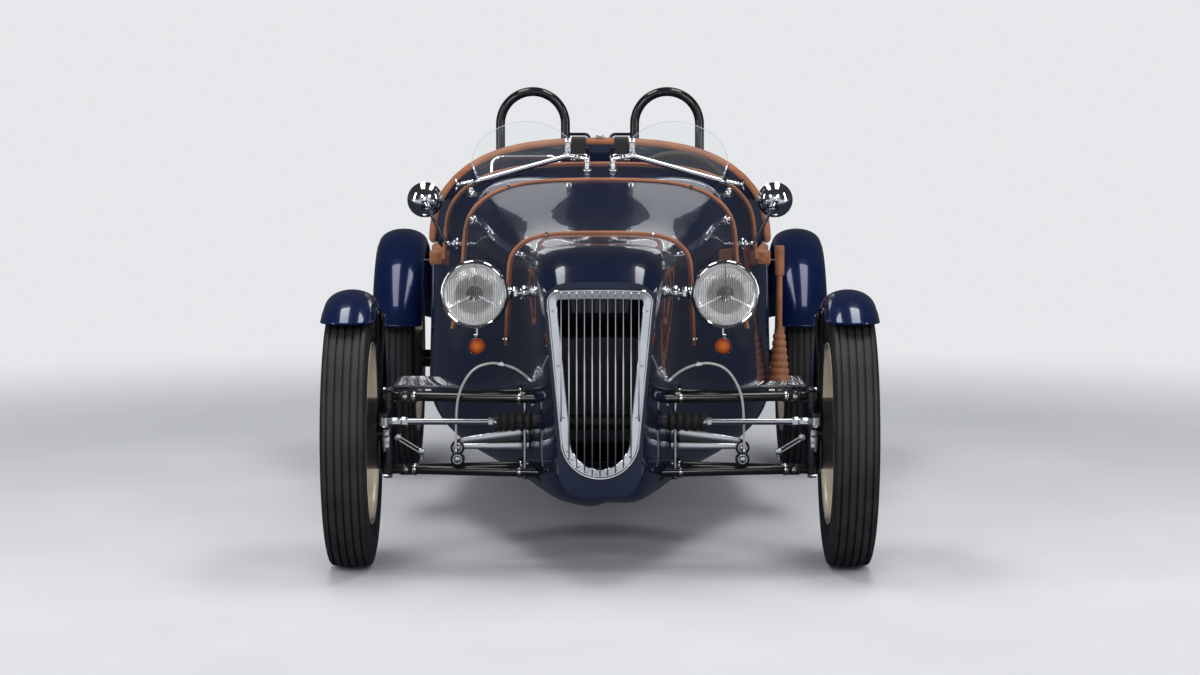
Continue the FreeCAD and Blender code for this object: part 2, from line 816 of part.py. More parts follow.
def make_steering_rack():
    """Rack tube across the nose with a ribbed gaiter at each end."""
    y = front_axle_y + rack_dy
    start_x = seat_gap + max(skin_x(y + side * gaiter_radius, rack_z + lift * gaiter_radius)
                             for side in (-1, 0, 1) for lift in (-1, 0, 1))
    end_x = start_x + gaiter_length
    pitch = gaiter_length / gaiter_ribs
    tube = rod(V(-start_x - pitch, y, rack_z), V(start_x + pitch, y, rack_z), rack_tube_radius)
    outline = [V(start_x, y, rack_z)]
    for i in range(gaiter_ribs):
        x = start_x + i * pitch
        outline.append(V(x, y, rack_z + gaiter_radius * gaiter_rib_share))
        outline.append(V(x + pitch / 2, y, rack_z + gaiter_radius))
    outline.append(V(end_x, y, rack_z + gaiter_radius * gaiter_rib_share))
    outline.append(V(end_x, y, rack_z))
    gaiter = turned(outline, V(0, y, rack_z), V(1, 0, 0))
    bore = rod(V(-reach, y, rack_z), V(reach, y, rack_z), tie_rod_radius + rack_clearance)
    return fuse([tube, gaiter, mirrored(gaiter)]).cut(bore)


def make_rack_bar():
    """Sliding rack bar with its tie rods and upright rod ends."""
    y = front_axle_y + rack_dy
    bar = rod(V(-kingpin_x, y, rack_z), V(kingpin_x, y, rack_z), tie_rod_radius)
    half = V(0, 0, rod_end_height / 2)
    centre = V(kingpin_x, y, rack_z)
    end = rod(centre - half, centre + half, rod_end_radius)
    return fuse([bar, end, mirrored(end)])


def make_knuckle():
    """Left upright: kingpin, barrel, stub axle, drum and steering arm."""
    y = front_axle_y
    x = kingpin_x
    pin_half = V(0, 0, arm_eye_height / 2 + kingpin_overhang)
    low_z = lower_arm_z + arm_eye_height / 2 + upright_gap
    high_z = upper_arm_z - arm_eye_height / 2 - upright_gap
    pin = rod(V(x, y, lower_arm_z) - pin_half, V(x, y, upper_arm_z) + pin_half, kingpin_radius)
    barrel = rod(V(x, y, low_z), V(x, y, high_z), upright_radius)
    drum = rod(V(drum_inner_x, y, tyre_radius), V(drum_outer_x, y, tyre_radius), drum_radius)
    neck = rod(V(x, y, tyre_radius), V(drum_inner_x, y, tyre_radius), upright_radius)
    stub = rod(V(x, y, tyre_radius), V(hub_x + hub_outer_offset - stub_radius, y, tyre_radius),
               stub_radius)
    arm_z = rack_z + rod_end_height / 2 + steering_arm_gap
    tip = V(x, y + rack_dy, arm_z)
    thick = V(0, 0, steering_arm_thickness)
    arm = box(x - steering_arm_radius, x + steering_arm_radius, tip.y, y, arm_z,
              arm_z + steering_arm_thickness)
    eye = rod(tip, tip + thick, steering_arm_radius)
    return fuse([pin, barrel, drum, neck, stub, arm, eye])


def wing_sheet_solid(centre, width, radius, front_angle, rear_angle):
    """Arched wing: a crowned sheet with turned-down lips, swept about the hub."""
    half = width / 2
    outer = [(-half, radius - wing_crown - wing_lip), (-half, radius - wing_crown),
             (-half / 2, radius - wing_crown / 4), (0, radius), (half / 2, radius - wing_crown / 4),
             (half, radius - wing_crown), (half, radius - wing_crown - wing_lip)]
    inner = []
    for x, r in reversed(outer):
        inner_x = max(-half + wing_sheet, min(half - wing_sheet, x))
        inner_r = r if r == outer[0][1] else r - wing_sheet
        inner.append((inner_x, inner_r))
    points = [V(centre.x + x, centre.y - r, centre.z) for x, r in outer + inner]
    sweep = 180.0 - front_angle - rear_angle
    sheet = turned(points, centre, V(-1, 0, 0), sweep)
    sheet.rotate(centre, V(-1, 0, 0), front_angle)
    return sheet


def on_arc(centre, radius, angle, x):
    """Point about a hub, at an angle above the forward level."""
    turn = math.radians(angle)
    return V(x, centre.y - radius * math.cos(turn), centre.z + radius * math.sin(turn))


def make_front_wing():
    """Left cycle wing with the stays that join it to the upright."""
    hub = V(hub_x, front_axle_y, tyre_radius)
    sheet = wing_sheet_solid(hub, front_wing_width, front_wing_radius,
                             front_wing_front_angle, front_wing_rear_angle)
    edge_x = hub_x - front_wing_width / 2
    stay_x = edge_x - wing_stay_radius + wing_sheet / 2
    lip_radius = front_wing_radius - wing_crown - wing_lip / 2
    pieces = [sheet]
    foot = V(stay_x, front_axle_y, (upper_arm_z + tyre_radius) / 2)
    for angle in wing_stay_angles:
        pieces.append(rod(foot, on_arc(hub, lip_radius, angle, stay_x), wing_stay_radius))
    plate_x = kingpin_x + upright_radius + seat_gap
    pieces.append(rod(V(plate_x, foot.y, foot.z), V(stay_x + wing_stay_radius, foot.y, foot.z),
                      wing_stay_radius * 2))
    drum = rod(V(plate_x - overrun, hub.y, hub.z), hub, drum_radius + seat_gap)
    return fuse(pieces).cut(drum)


def make_rear_wings():
    """Fixed wings over the rear wheels, with round stays from the tail's sides."""
    hub = V(hub_x - rear_wing_inset, rear_axle_y, tyre_radius)
    pieces = [wing_sheet_solid(hub, rear_wing_width, rear_wing_radius,
                               rear_wing_front_angle, rear_wing_rear_angle)]
    end_x = hub.x - rear_wing_width / 2 + wing_sheet / 2
    for angle in wing_stay_angles:
        end = on_arc(hub, rear_wing_radius - wing_crown - wing_lip / 2, angle, end_x)
        pieces.append(outside(rod(V(0, end.y, end.z), end, wing_stay_radius)))
    return both_sides(fuse(pieces))


def make_rear_axle():
    """Live axle: tube, drive housing, drums, stubs and saddles under the rails."""
    y = rear_axle_y
    z = tyre_radius
    drum_x = drum_inner_x
    tube = rod(V(-drum_x, y, z), V(drum_x, y, z), axle_tube_radius)
    housing = rod(V(-axle_housing_half_width, y, z), V(axle_housing_half_width, y, z),
                  axle_housing_radius)
    flange = rod(V(drum_x, y, z), V(drum_outer_x, y, z), drum_radius)
    stub = rod(V(drum_x, y, z), V(hub_x + hub_outer_offset - stub_radius, y, z), stub_radius)
    saddle = box(rail_x - rail_width / 2, rail_x + rail_width / 2, y - axle_tube_radius,
                 y + axle_tube_radius, z, rail_kick_z - seat_gap)
    pieces = [tube, housing]
    for piece in (flange, stub, saddle):
        pieces += [piece, mirrored(piece)]
    return fuse(pieces)


def make_tyre():
    """Left tyre about its own centre at the origin."""
    height = tyre_radius - tyre_bead_radius
    points = [V(x_share * tyre_width, 0, tyre_bead_radius + r_share * height)
              for x_share, r_share in tyre_shares]
    return turned(points, V(0, 0, 0), V(1, 0, 0))


def make_rim():
    """Drop-centre rim about its own centre."""
    outer = tyre_bead_radius - seat_gap
    half = rim_width / 2
    well = rim_well_width / 2
    points = [V(-half, 0, outer), V(half, 0, outer), V(half, 0, outer - rim_lip),
              V((half + well) / 2, 0, outer - rim_thickness - rim_lip / 2),
              V(well, 0, outer - rim_thickness - rim_well_depth),
              V(-well, 0, outer - rim_thickness - rim_well_depth),
              V(-(half + well) / 2, 0, outer - rim_thickness - rim_lip / 2),
              V(-half, 0, outer - rim_lip)]
    return turned(points, V(0, 0, 0), V(1, 0, 0))


def make_hub():
    """Hub shell with two spoke flanges and a rounded cap."""
    x0 = -hub_inner_offset
    x1 = hub_outer_offset
    w = hub_flange_width
    cap_share, cap_radius_share = hub_cap_shares
    points = [V(x0, 0, 0), V(x0, 0, hub_flange_radius), V(x0 + w, 0, hub_flange_radius),
              V(x0 + w, 0, hub_radius), V(x1 - w, 0, hub_radius), V(x1 - w, 0, hub_outer_flange_radius),
              V(x1, 0, hub_outer_flange_radius), V(x1, 0, hub_cap_radius),
              V(x1 + hub_cap_length * cap_share, 0, hub_cap_radius * cap_radius_share),
              V(x1 + hub_cap_length, 0, 0)]
    return turned(points, V(0, 0, 0), V(1, 0, 0))


def spoke(x_hub, r_hub, angle_hub, x_rim, r_rim, angle_rim):
    """Straight-sided spoke from a hub flange to the rim."""
    def spot(x, r, angle):
        turn = math.radians(angle)
        return V(x, r * math.cos(turn), r * math.sin(turn))
    start = spot(x_hub, r_hub, angle_hub)
    end = spot(x_rim, r_rim, angle_rim)
    along = (end - start).normalize()
    side = along.cross(V(1, 0, 0)).normalize()
    up = along.cross(side)
    corners = []
    for i in range(spoke_sides):
        turn = math.tau * i / spoke_sides
        corners.append(start + (side * math.cos(turn) + up * math.sin(turn)) * spoke_radius)
    return plate(corners, end - start)


def make_wheel():
    """Left wire wheel about its own centre: rim, crossed spokes and hub."""
    pieces = [make_rim(), make_hub()]
    r_rim = tyre_bead_radius - seat_gap - rim_thickness - rim_well_depth + spoke_radius
    step = 360.0 / spokes_per_flange
    w = hub_flange_width / 2
    flanges = ((-hub_inner_offset + w, hub_flange_radius - spoke_radius * 2, -rim_well_width / 4, 0.0),
               (hub_outer_offset - w, hub_outer_flange_radius - spoke_radius * 2, rim_well_width / 4,
                step / 2))
    for x_hub, r_hub, x_rim, offset in flanges:
        for i in range(spokes_per_flange):
            lean = step * spoke_lean_share * (1 if i % 2 else -1)
            angle = offset + i * step
            pieces.append(spoke(x_hub, r_hub, angle + lean, x_rim, r_rim, angle))
    bore = rod(V(-hub_inner_offset - overrun, 0, 0),
               V(hub_outer_offset - stub_radius + stub_clearance, 0, 0), stub_radius + stub_clearance)
    return fuse(pieces).cut(bore)


def lamp_centre():
    """Middle of the left lamp's front rim."""
    y = front_axle_y + lamp_dy
    z = body_base_z + lamp_height_share * body_height
    return V(skin_x(front_axle_y + lamp_bracket_dy, z) + lamp_reach, y, z)


def indicator_centre():
    """Middle of the left indicator's front."""
    lamp = lamp_centre()
    drop = lamp_radius + indicator_gap + indicator_radius
    return V(lamp.x - indicator_inset, front_axle_y + indicator_dy, lamp.z - drop)


def profile_points(shares, centre, radius, depth):
    """Outline from a centre along a table of shares of a radius and a depth."""
    return [V(centre.x + r_share * radius, centre.y + y_share * depth, centre.z)
            for r_share, y_share in shares]


def make_headlights():
    """Lamp bowls with bright rims, brackets to the nose and stalks for the indicators."""
    lamp = lamp_centre()
    bowl = turned([lamp] + profile_points(lamp_shares, lamp, lamp_radius, lamp_depth), lamp, V(0, 1, 0))
    recess = rod(V(lamp.x, lamp.y - overrun, lamp.z), V(lamp.x, lamp.y + lens_depth, lamp.z),
                 lens_radius + seat_gap)
    bracket_y = front_axle_y + lamp_bracket_dy
    bracket = outside(rod(V(0, bracket_y, lamp.z), V(lamp.x, bracket_y, lamp.z), lamp_bracket_radius))
    light = indicator_centre()
    stalk_y = light.y + indicator_depth / 2
    stalk = rod(V(light.x, stalk_y, light.z + indicator_radius + seat_gap),
                V(light.x, stalk_y, lamp.z), indicator_stalk_radius)
    return both_sides(fuse([bowl, bracket, stalk]).cut(recess))


def make_headlight_lenses():
    """Domed glasses in the lamps' rims."""
    lamp = lamp_centre()
    back = V(lamp.x, lamp.y + lens_depth - seat_gap, lamp.z)
    face = V(lamp.x, back.y - lens_depth, lamp.z)
    points = [back, V(back.x + lens_radius, back.y, back.z)]
    points += profile_points(lens_shares, face, lens_radius, -lens_dome)
    return both_sides(turned(points, lamp, V(0, 1, 0)))


def make_indicators():
    """Round amber indicators under the headlights."""
    light = indicator_centre()
    return both_sides(rod(light, light + V(0, indicator_depth, 0), indicator_radius))


def tail_lamp_seat():
    """Middle of the boss that carries the left tail lamp."""
    return V(tail_lamp_x, body_end_y + tail_lamp_boss_height, body_base_z + tail_lamp_rise)


def make_tail_lamps():
    """Round red lamps on their bosses on the flat end of the tail."""
    start = tail_lamp_seat() + V(0, seat_gap, 0)
    return both_sides(rod(start, V(start.x, tail_y, start.z), tail_lamp_radius))


def screen_ends():
    """Lower ends of the left screen's frame, outer then inner."""
    y = scuttle_seam_y - screen_inset
    return (V(screen_outer_x, y, skin_z(screen_outer_x, y) + screen_outer_lift),
            V(screen_inner_x, y, skin_z(screen_inner_x, y) + screen_inner_lift))


def make_screen_frames():
    """Bottom bars, knobs and feet of the two small screens."""
    outer, inner = screen_ends()
    pieces = [rod(outer, inner, screen_bar_radius)]
    half = V(0, screen_knob_width / 2, 0)
    for end in (outer, inner):
        foot_z = skin_z(end.x, end.y)
        pieces.append(rod(end - half, end + half, screen_knob_radius))
        pieces.append(rod(V(end.x, end.y, foot_z - overrun), end, screen_foot_radius))
    frame = fuse(pieces)
    return both_sides(outside(frame))


def make_screen_glass():
    """Curved-top glass standing on each screen's bottom bar."""
    outer, inner = screen_ends()
    y = outer.y - screen_glass_thickness / 2
    foot = screen_knob_radius + seat_gap
    out_low = V(outer.x, y, outer.z)
    in_low = V(inner.x, y, inner.z)
    out_up = V(outer.x + screen_lean_x, y, outer.z + screen_upright)
    in_up = V(inner.x, y, inner.z + screen_upright)
    width = out_up.x - in_up.x

    def spot(x_share, z_share):
        return V(in_up.x + x_share * width, y, out_up.z + z_share * screen_rise)
    shoulder = spot(*screen_shoulder_shares)
    edges = [
        Part.LineSegment(in_low, out_low).toShape(),
        Part.LineSegment(out_low, out_up).toShape(),
        Part.Arc(out_up, spot(*screen_side_shares), shoulder).toShape(),
        Part.Arc(shoulder, spot(screen_crown_share, 1), in_up).toShape(),
        Part.LineSegment(in_up, in_low).toShape(),
    ]
    glass = Part.Face(Part.Wire(edges)).extrude(V(0, screen_glass_thickness, 0))
    depth = V(0, screen_glass_thickness, 0)
    cuts = [rod(end - depth, end + depth, foot) for end in (outer, inner)]
    cuts.append(rod(outer, inner, screen_bar_radius + seat_gap))
    return both_sides(glass.cut(cuts))


def make_mirrors():
    """Round mirrors on bent arms from the scuttle's sides."""
    y = scuttle_seam_y - mirror_inset
    elbow_z = crown_z(y) - mirror_elbow_drop
    elbow_x = skin_x(y, elbow_z) + mirror_elbow_reach
    centre = V(elbow_x + mirror_reach, y, elbow_z + mirror_rise)
    points = [centre] + profile_points(mirror_shares, centre, mirror_radius, -mirror_depth)
    bowl = turned(points, centre, V(0, 1, 0))
    arm_y = y - mirror_depth / 2
    arm = bent_rod([V(centre.x, arm_y, centre.z), V(elbow_x, arm_y, elbow_z), V(0, arm_y, elbow_z)],
                   (mirror_arm_bend,), mirror_arm_radius)
    return both_sides(fuse([bowl, outside(arm)]))


def make_roll_hoops():
    """Two hoops behind the heads, each with a belt guide loop towards the middle."""
    y = cockpit_end_y + hoop_back
    x0 = hoop_x - hoop_radius
    x1 = hoop_x + hoop_radius
    centre_z = crown_z(y) + hoop_rise
    top = centre_z + hoop_radius
    z0 = skin_z(x1, y) - overrun
    bend = hoop_radius - seat_gap
    hoop = bent_rod([V(x0, y, z0), V(x0, y, top), V(x1, y, top), V(x1, y, z0)], (bend, bend),
                    hoop_tube_radius)
    high = centre_z - guide_drop
    low = high - guide_height
    guide = bent_rod([V(x0, y, high), V(guide_inner_x, y, high), V(guide_inner_x, y, low),
                      V(x0, y, low)], (guide_bend, guide_bend), guide_radius)
    return both_sides(outside(fuse([hoop, guide])))


def make_dashboard():
    """Dash panel across the scuttle's rear edge with the column's boss."""
    y1 = scuttle_seam_y - seat_gap
    panel = lining.common(slab(y1 - dash_thickness, y1, waist_z + dash_foot_rise))
    centre, axis = column_axis()
    middle = centre + axis * ((y1 - dash_thickness / 2 - centre.y) / axis.y)
    half = axis * (column_boss_length / 2)
    boss = rod(middle - half, middle + half, column_boss_radius)
    bore = rod(middle - half * 2, middle + half * 2, column_radius + column_clearance)
    return fuse([panel, boss]).cut(bore)


def column_axis():
    """Centre of the steering wheel and the direction of its column, up and to the rear."""
    turn = math.radians(steering_rake)
    centre = V(steering_wheel_x, scuttle_seam_y + steering_wheel_back,
               body_top_z - steering_wheel_drop)
    return centre, V(0, math.cos(turn), math.sin(turn))


def make_steering_wheel():
    """Three-spoke steering wheel and its column shaft."""
    centre, axis = column_axis()
    rim = Part.makeTorus(steering_wheel_radius, steering_rim_radius, centre, axis)
    hub = rod(centre - axis * steering_hub_depth, centre + axis * steering_rim_radius,
              steering_hub_radius)
    shaft = rod(centre - axis * column_length, centre, column_radius)
    pieces = [rim, hub, shaft]
    half = steering_spoke_width / 2
    bar = box(-half, half, 0, steering_wheel_radius, 0, steering_spoke_thickness)
    bar.rotate(V(0, 0, 0), V(1, 0, 0), 90.0 + steering_rake)
    for i in range(steering_spokes):
        arm = bar.copy()
        arm.rotate(V(0, 0, 0), axis, steering_spoke_angle + i * 360.0 / steering_spokes)
        pieces.append(arm.translated(centre))
    return fuse(pieces)


def make_seats():
    """Two upholstered seats, each a cushion and a back in one piece."""
    y1 = cockpit_end_y - seat_gap
    y0 = cockpit_end_y - seat_length
    z0 = rail_top_z + seat_gap
    cushion_z = rail_top_z + seat_cushion_height
    back_z = body_top_z - seat_back_drop
    outline = [V(0, y0, z0), V(0, y0, cushion_z), V(0, y1 - seat_back_thickness, cushion_z),
               V(0, y1 - seat_back_thickness / 2, back_z), V(0, y1, back_z), V(0, y1, z0)]
    seat = plate(outline, V(seat_outer_x - seat_gap_middle, 0, 0))
    seat.translate(V(seat_gap_middle, 0, 0))
    return both_sides(seat.common(lining))


def make_seat_belts():
    """Shoulder belts from the deck over the rear padding and down the seat backs."""
    x = belt_inner_x
    t = belt_thickness
    rear_y = cockpit_end_y + hoop_back - hoop_tube_radius - guide_radius
    front_y = cockpit_end_y - t
    padding_top = padding_radius * (1 + padding_lift_share)
    top = skin_z(x, cockpit_end_y + padding_radius) + padding_top + seat_gap * 2
    deck = skin_z(x, rear_y) + seat_gap
    foot = body_top_z - seat_back_drop + seat_gap
    line = [(rear_y, deck), (cockpit_end_y + padding_radius * 2, top), (cockpit_end_y, top),
            (front_y, top - padding_radius), (front_y, foot)]
    upper = [(y, z + t) for y, z in line[:3]] + [(y - t, z) for y, z in line[3:]]
    outline = [V(x, y, z) for y, z in line + upper[::-1]]
    return both_sides(outside(plate(outline, V(belt_width, 0, 0))))


def make_step_plates():
    """Step on each side with two round brackets to the body."""
    y0 = scuttle_seam_y - step_front_inset
    outer_x = body_half_width + step_reach
    pieces = [box(0, outer_x, y0, y0 + step_length, step_z - step_thickness, step_z)]
    for share in step_bracket_shares:
        y = y0 + share * step_length
        z = step_z - step_thickness - step_bracket_radius / 2
        pieces.append(rod(V(0, y, z), V(outer_x - overrun, y, z), step_bracket_radius))
    return both_sides(outside(fuse(pieces)))


def make_handbrake_lever():
    """Outside brake lever in its leather boot on the left step."""
    x = body_half_width + lever_reach
    y = scuttle_seam_y + lever_back
    z0 = step_z + seat_gap
    boot_z = z0 + lever_boot_height
    grip_z = boot_z + lever_rod_height
    top_z = grip_z + lever_grip_height
    outline = ((0, z0), (lever_boot_radius, z0), (lever_boot_neck, boot_z), (lever_rod_radius, boot_z),
               (lever_rod_radius, grip_z), (lever_grip_radius, grip_z), (lever_grip_radius, top_z),
               (0, top_z))
    return turned([V(x + out, y, z) for out, z in outline], V(x, y, 0), V(0, 0, 1))


def make_grab_bar():
    """Passenger's grab bar on the dash."""
    y0 = scuttle_seam_y - overrun
    y1 = scuttle_seam_y + grab_back
    foot = crown_z(scuttle_seam_y) - grab_foot_drop
    outer_x = skin_x(scuttle_seam_y, foot) - grab_side_gap
    top = foot + grab_rise
    low = foot - grab_rise * overrun / grab_back
    bar = bent_rod([V(-outer_x, y0, low), V(-outer_x, y1, top), V(-grab_inner_x, y1, top),
                    V(-grab_inner_x, y0, low)], (grab_bend, grab_bend), grab_radius)
    return bar.cut(slab(-reach, scuttle_seam_y))


def place_wheel(shape, side, y):
    """A left-hand wheel piece put at one of the four hubs."""
    piece = shape if side > 0 else mirrored(shape)
    return piece.translated(V(side * hub_x, y, tyre_radius))


def all_pieces():
    """Every piece of the car by its name."""
    knuckle = make_knuckle()
    front_wing = make_front_wing()
    pieces = {
        "frame_rails": make_frame_rails(),
        "cross_members": make_cross_members(),
        "power_block": make_power_block(),
        "body_tub": make_body_tub(),
        "nose_cowl": make_nose_cowl(),
        "grille": make_grille(),
        "bonnet": make_bonnet(),
        "scuttle": make_scuttle(),
        "rear_body": make_rear_body(),
        "leather_beads": make_leather_beads(),
        "cockpit_padding": make_cockpit_padding(),
        "dashboard": make_dashboard(),
        "seats": make_seats(),
        "seat_belts": make_seat_belts(),
        "roll_hoops": make_roll_hoops(),
        "screen_frames": make_screen_frames(),
        "screen_glass": make_screen_glass(),
        "mirrors": make_mirrors(),
        "headlights": make_headlights(),
        "headlight_lenses": make_headlight_lenses(),
        "indicators": make_indicators(),
        "tail_lamps": make_tail_lamps(),
        "suspension_arms": make_suspension_arms(),
        "rockers": make_rockers(),
        "steering_rack": make_steering_rack(),
        "rack_bar": make_rack_bar(),
        "brake_hoses": make_brake_hoses(),
        "knuckle_left": knuckle,
        "knuckle_right": mirrored(knuckle),
        "front_wing_left": front_wing,
        "front_wing_right": mirrored(front_wing),
        "rear_wings": make_rear_wings(),
        "rear_axle": make_rear_axle(),
        "step_plates": make_step_plates(),
        "handbrake_lever": make_handbrake_lever(),
        "grab_bar": make_grab_bar(),
        "steering_wheel": make_steering_wheel(),
    }
    tyre = make_tyre()
    wheel = make_wheel()
    for end, y in (("front", front_axle_y), ("rear", rear_axle_y)):
        for side, sign in (("left", 1), ("right", -1)):
            pieces[f"tyre_{end}_{side}"] = place_wheel(tyre, sign, y)
            pieces[f"wheel_{end}_{side}"] = place_wheel(wheel, sign, y)
    return pieces


os.makedirs("parts", exist_ok=True)
for name, shape in all_pieces().items():
    shape.exportStep(f"parts/{name}.step")
    print(name, len(shape.Solids), round(shape.Volume / 1e6, 3), shape.isValid())
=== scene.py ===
import json
import math

import bmesh
import bpy
from bpy.props import FloatProperty, FloatVectorProperty, IntProperty, PointerProperty
from mathutils import Matrix, Vector
from mathutils.bvhtree import BVHTree


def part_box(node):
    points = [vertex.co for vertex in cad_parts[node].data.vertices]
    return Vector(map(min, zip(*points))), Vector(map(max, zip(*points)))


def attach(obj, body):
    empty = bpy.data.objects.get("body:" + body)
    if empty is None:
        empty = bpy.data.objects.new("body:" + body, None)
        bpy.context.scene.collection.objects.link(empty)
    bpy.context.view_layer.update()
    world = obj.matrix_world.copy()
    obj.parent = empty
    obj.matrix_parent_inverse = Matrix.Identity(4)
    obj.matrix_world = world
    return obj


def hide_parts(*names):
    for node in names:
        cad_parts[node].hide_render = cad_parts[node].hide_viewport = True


bl_info = {
    "name": "Boat-tail roadster",
    "version": (1, 0, 0),
    "blender": (4, 5, 0),
    "location": "View3D > Sidebar > Roadster",
    "description": "Finishes and fine pieces of an open two-seat roadster",
    "category": "Object",
}

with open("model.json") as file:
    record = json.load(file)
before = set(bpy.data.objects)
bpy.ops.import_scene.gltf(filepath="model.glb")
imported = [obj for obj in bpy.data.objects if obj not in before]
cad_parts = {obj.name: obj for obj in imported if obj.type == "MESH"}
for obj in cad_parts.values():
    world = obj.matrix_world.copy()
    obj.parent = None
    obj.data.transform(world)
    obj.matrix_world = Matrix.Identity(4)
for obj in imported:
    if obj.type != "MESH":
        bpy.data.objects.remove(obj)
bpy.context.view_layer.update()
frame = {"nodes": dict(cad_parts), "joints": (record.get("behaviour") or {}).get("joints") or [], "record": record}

X, Y, Z = Vector((1, 0, 0)), Vector((0, 1, 0)), Vector((0, 0, 1))
JOINTS = {joint["name"]: joint for joint in frame["joints"]}

# Places read from the frame
FRONT_HUB, REAR_HUB, LEFT_PIN = (Vector(JOINTS[name]["pos_m"])
                                 for name in ("spin_front_left", "spin_rear_left", "steer_left"))
AXLE_Y = FRONT_HUB.y
TYRE_RADIUS = FRONT_HUB.z
NOSE_SEAM_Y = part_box("bonnet")[0].y - 0.005
BONNET_SEAM_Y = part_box("scuttle")[0].y
SCUTTLE_SEAM_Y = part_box("scuttle")[1].y
WAIST_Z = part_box("scuttle")[0].z
COCKPIT_END_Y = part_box("seats")[1].y

# Places and sizes that the part's source shares
SILL_Z = 0.785
ROLL_RADIUS = 0.016
LENS_RADIUS = 0.085
INDICATOR_RADIUS = 0.025
TAIL_LAMP_RADIUS = 0.032
MIRROR_RADIUS = 0.054
WHEEL_CENTRE = Vector((0.240, 0.045, 0.950))

# Middle of the notches on a tyre's shoulder, out from the tyre's own middle
SHOULDER_OUT = 0.0550
BACKDROP = (0.79, 0.80, 0.82)

# Where rays towards the body start, above it and to its side
ABOVE, BESIDE = 2.0, 1.5

SIDES = (1, -1)
SIDE_NAMES = {1: "left", -1: "right"}
ENDS = {"front": FRONT_HUB, "rear": REAR_HUB}


def colour(name, description, default):
    """Colour that an owner would choose."""
    return FloatVectorProperty(name=name, description=description, default=default, subtype="COLOR",
                               min=0, max=1)


def length(name, description, default):
    """Length that an owner would choose."""
    return FloatProperty(name=name, description=description, default=default, unit="LENGTH")


class RoadsterColours(bpy.types.PropertyGroup):
    """Colours of the car and its floor"""
    body: colour("Body", "Dark blue of the body", (0.004, 0.008, 0.026))
    wing: colour("Wings", "Lighter blue of the cycle wings", (0.004, 0.011, 0.05))
    leather: colour("Leather", "Tan of the piping and padding", (0.40, 0.150, 0.065))
    wheel: colour("Wheels", "Cream of the rims and spokes", (0.72, 0.64, 0.48))
    chrome: colour("Bright metal", "Chrome of the lamps and grille", (0.78, 0.79, 0.81))
    hose: colour("Hoses", "Pale braid of the brake hoses", (0.50, 0.49, 0.46))
    floor: colour("Floor", "Pale studio floor", (0.74, 0.74, 0.75))


class RoadsterSizes(bpy.types.PropertyGroup):
    """Sizes that several pieces share"""
    tread_grooves: IntProperty(name="Tread grooves", description="Straight grooves round each tyre",
                               default=5, min=1)
    groove_pitch: length("Groove pitch", "Distance between two grooves", 0.0209)
    groove_depth: length("Groove depth", "Depth of the tread's grooves", 0.006)
    groove_width: length("Groove width", "Width of the tread's grooves", 0.0052)
    spoke_radius: length("Spoke radius", "Radius of each wire spoke", 0.0026)
    piping_radius: length("Piping radius", "Radius of the leather piping", 0.007)


def sizes():
    """The scene's chosen sizes."""
    return bpy.context.scene.roadster_sizes


# Nodes

def plug(socket, source):
    """Links a source into a socket, or sets the socket's own value."""
    if isinstance(source, bpy.types.NodeSocket):
        socket.id_data.links.new(source, socket)
    else:
        socket.default_value = source


def add(tree, kind, *inputs, **named):
    """New node, with settings and inputs by name and then inputs in order, each a link or a value."""
    node = tree.nodes.new("ShaderNode" + kind)
    for key, value in named.items():
        if hasattr(node, key):
            setattr(node, key, value)
        else:
            plug(node.inputs[key.replace("_", " ")], value)
    for socket, value in zip(node.inputs, inputs):
        plug(socket, value)
    return node


def object_position(tree):
    """Place on the piece, the same in every view."""
    return add(tree, "TexCoord").outputs["Object"]


def noise(tree, scale, place=None, **more):
    """Value of a noise over the piece."""
    place = object_position(tree) if place is None else place
    return add(tree, "TexNoise", place, Scale=scale, **more).outputs["Fac"]


def calc(tree, operation, *inputs):
    """Result of one sum."""
    return add(tree, "Math", *inputs, operation=operation).outputs[0]


def remap(tree, *inputs, **more):
    """A value carried from a range (0 to 1 where not given) to another."""
    return add(tree, "MapRange", *inputs, **more).outputs[0]


def blend(tree, factor, low, high, **more):
    """Colour from one to another by a factor."""
    node = add(tree, "Mix", factor, data_type="RGBA", **more)
    plug(node.inputs[6], low)
    plug(node.inputs[7], high)
    return node.outputs[2]


def new_group(name, inputs, outputs):
    """Empty shader group with named sockets: the group, its start's outputs and its end's inputs."""
    group = bpy.data.node_groups.new(name, "ShaderNodeTree")
    for label, default in inputs.items():
        kind = "Color" if isinstance(default, tuple) else "Float"
        socket = group.interface.new_socket(label, in_out="INPUT", socket_type="NodeSocket" + kind)
        socket.default_value = default
    for label, kind in outputs.items():
        group.interface.new_socket(label, in_out="OUTPUT", socket_type="NodeSocket" + kind)
    start, end = group.nodes.new("NodeGroupInput"), group.nodes.new("NodeGroupOutput")
    return group, start.outputs, end.inputs


def make_mottle_group():
    """Soft uneven tone between two colours, with a matching roughness."""
    group, start, end = new_group(
        "Uneven tone", {"Colour A": (0, 0, 0, 1), "Colour B": (1, 1, 1, 1), "Scale": 8.0,
                        "Rough low": 0.3, "Rough high": 0.5}, {"Colour": "Color", "Roughness": "Float"})
    value = noise(group, start["Scale"], Detail=6.0, Roughness=0.6)
    plug(end["Colour"], blend(group, remap(group, value, 0.3, 0.7), start["Colour A"], start["Colour B"]))
    plug(end["Roughness"], remap(group, value, 0, 1, start["Rough low"], start["Rough high"]))
    return group


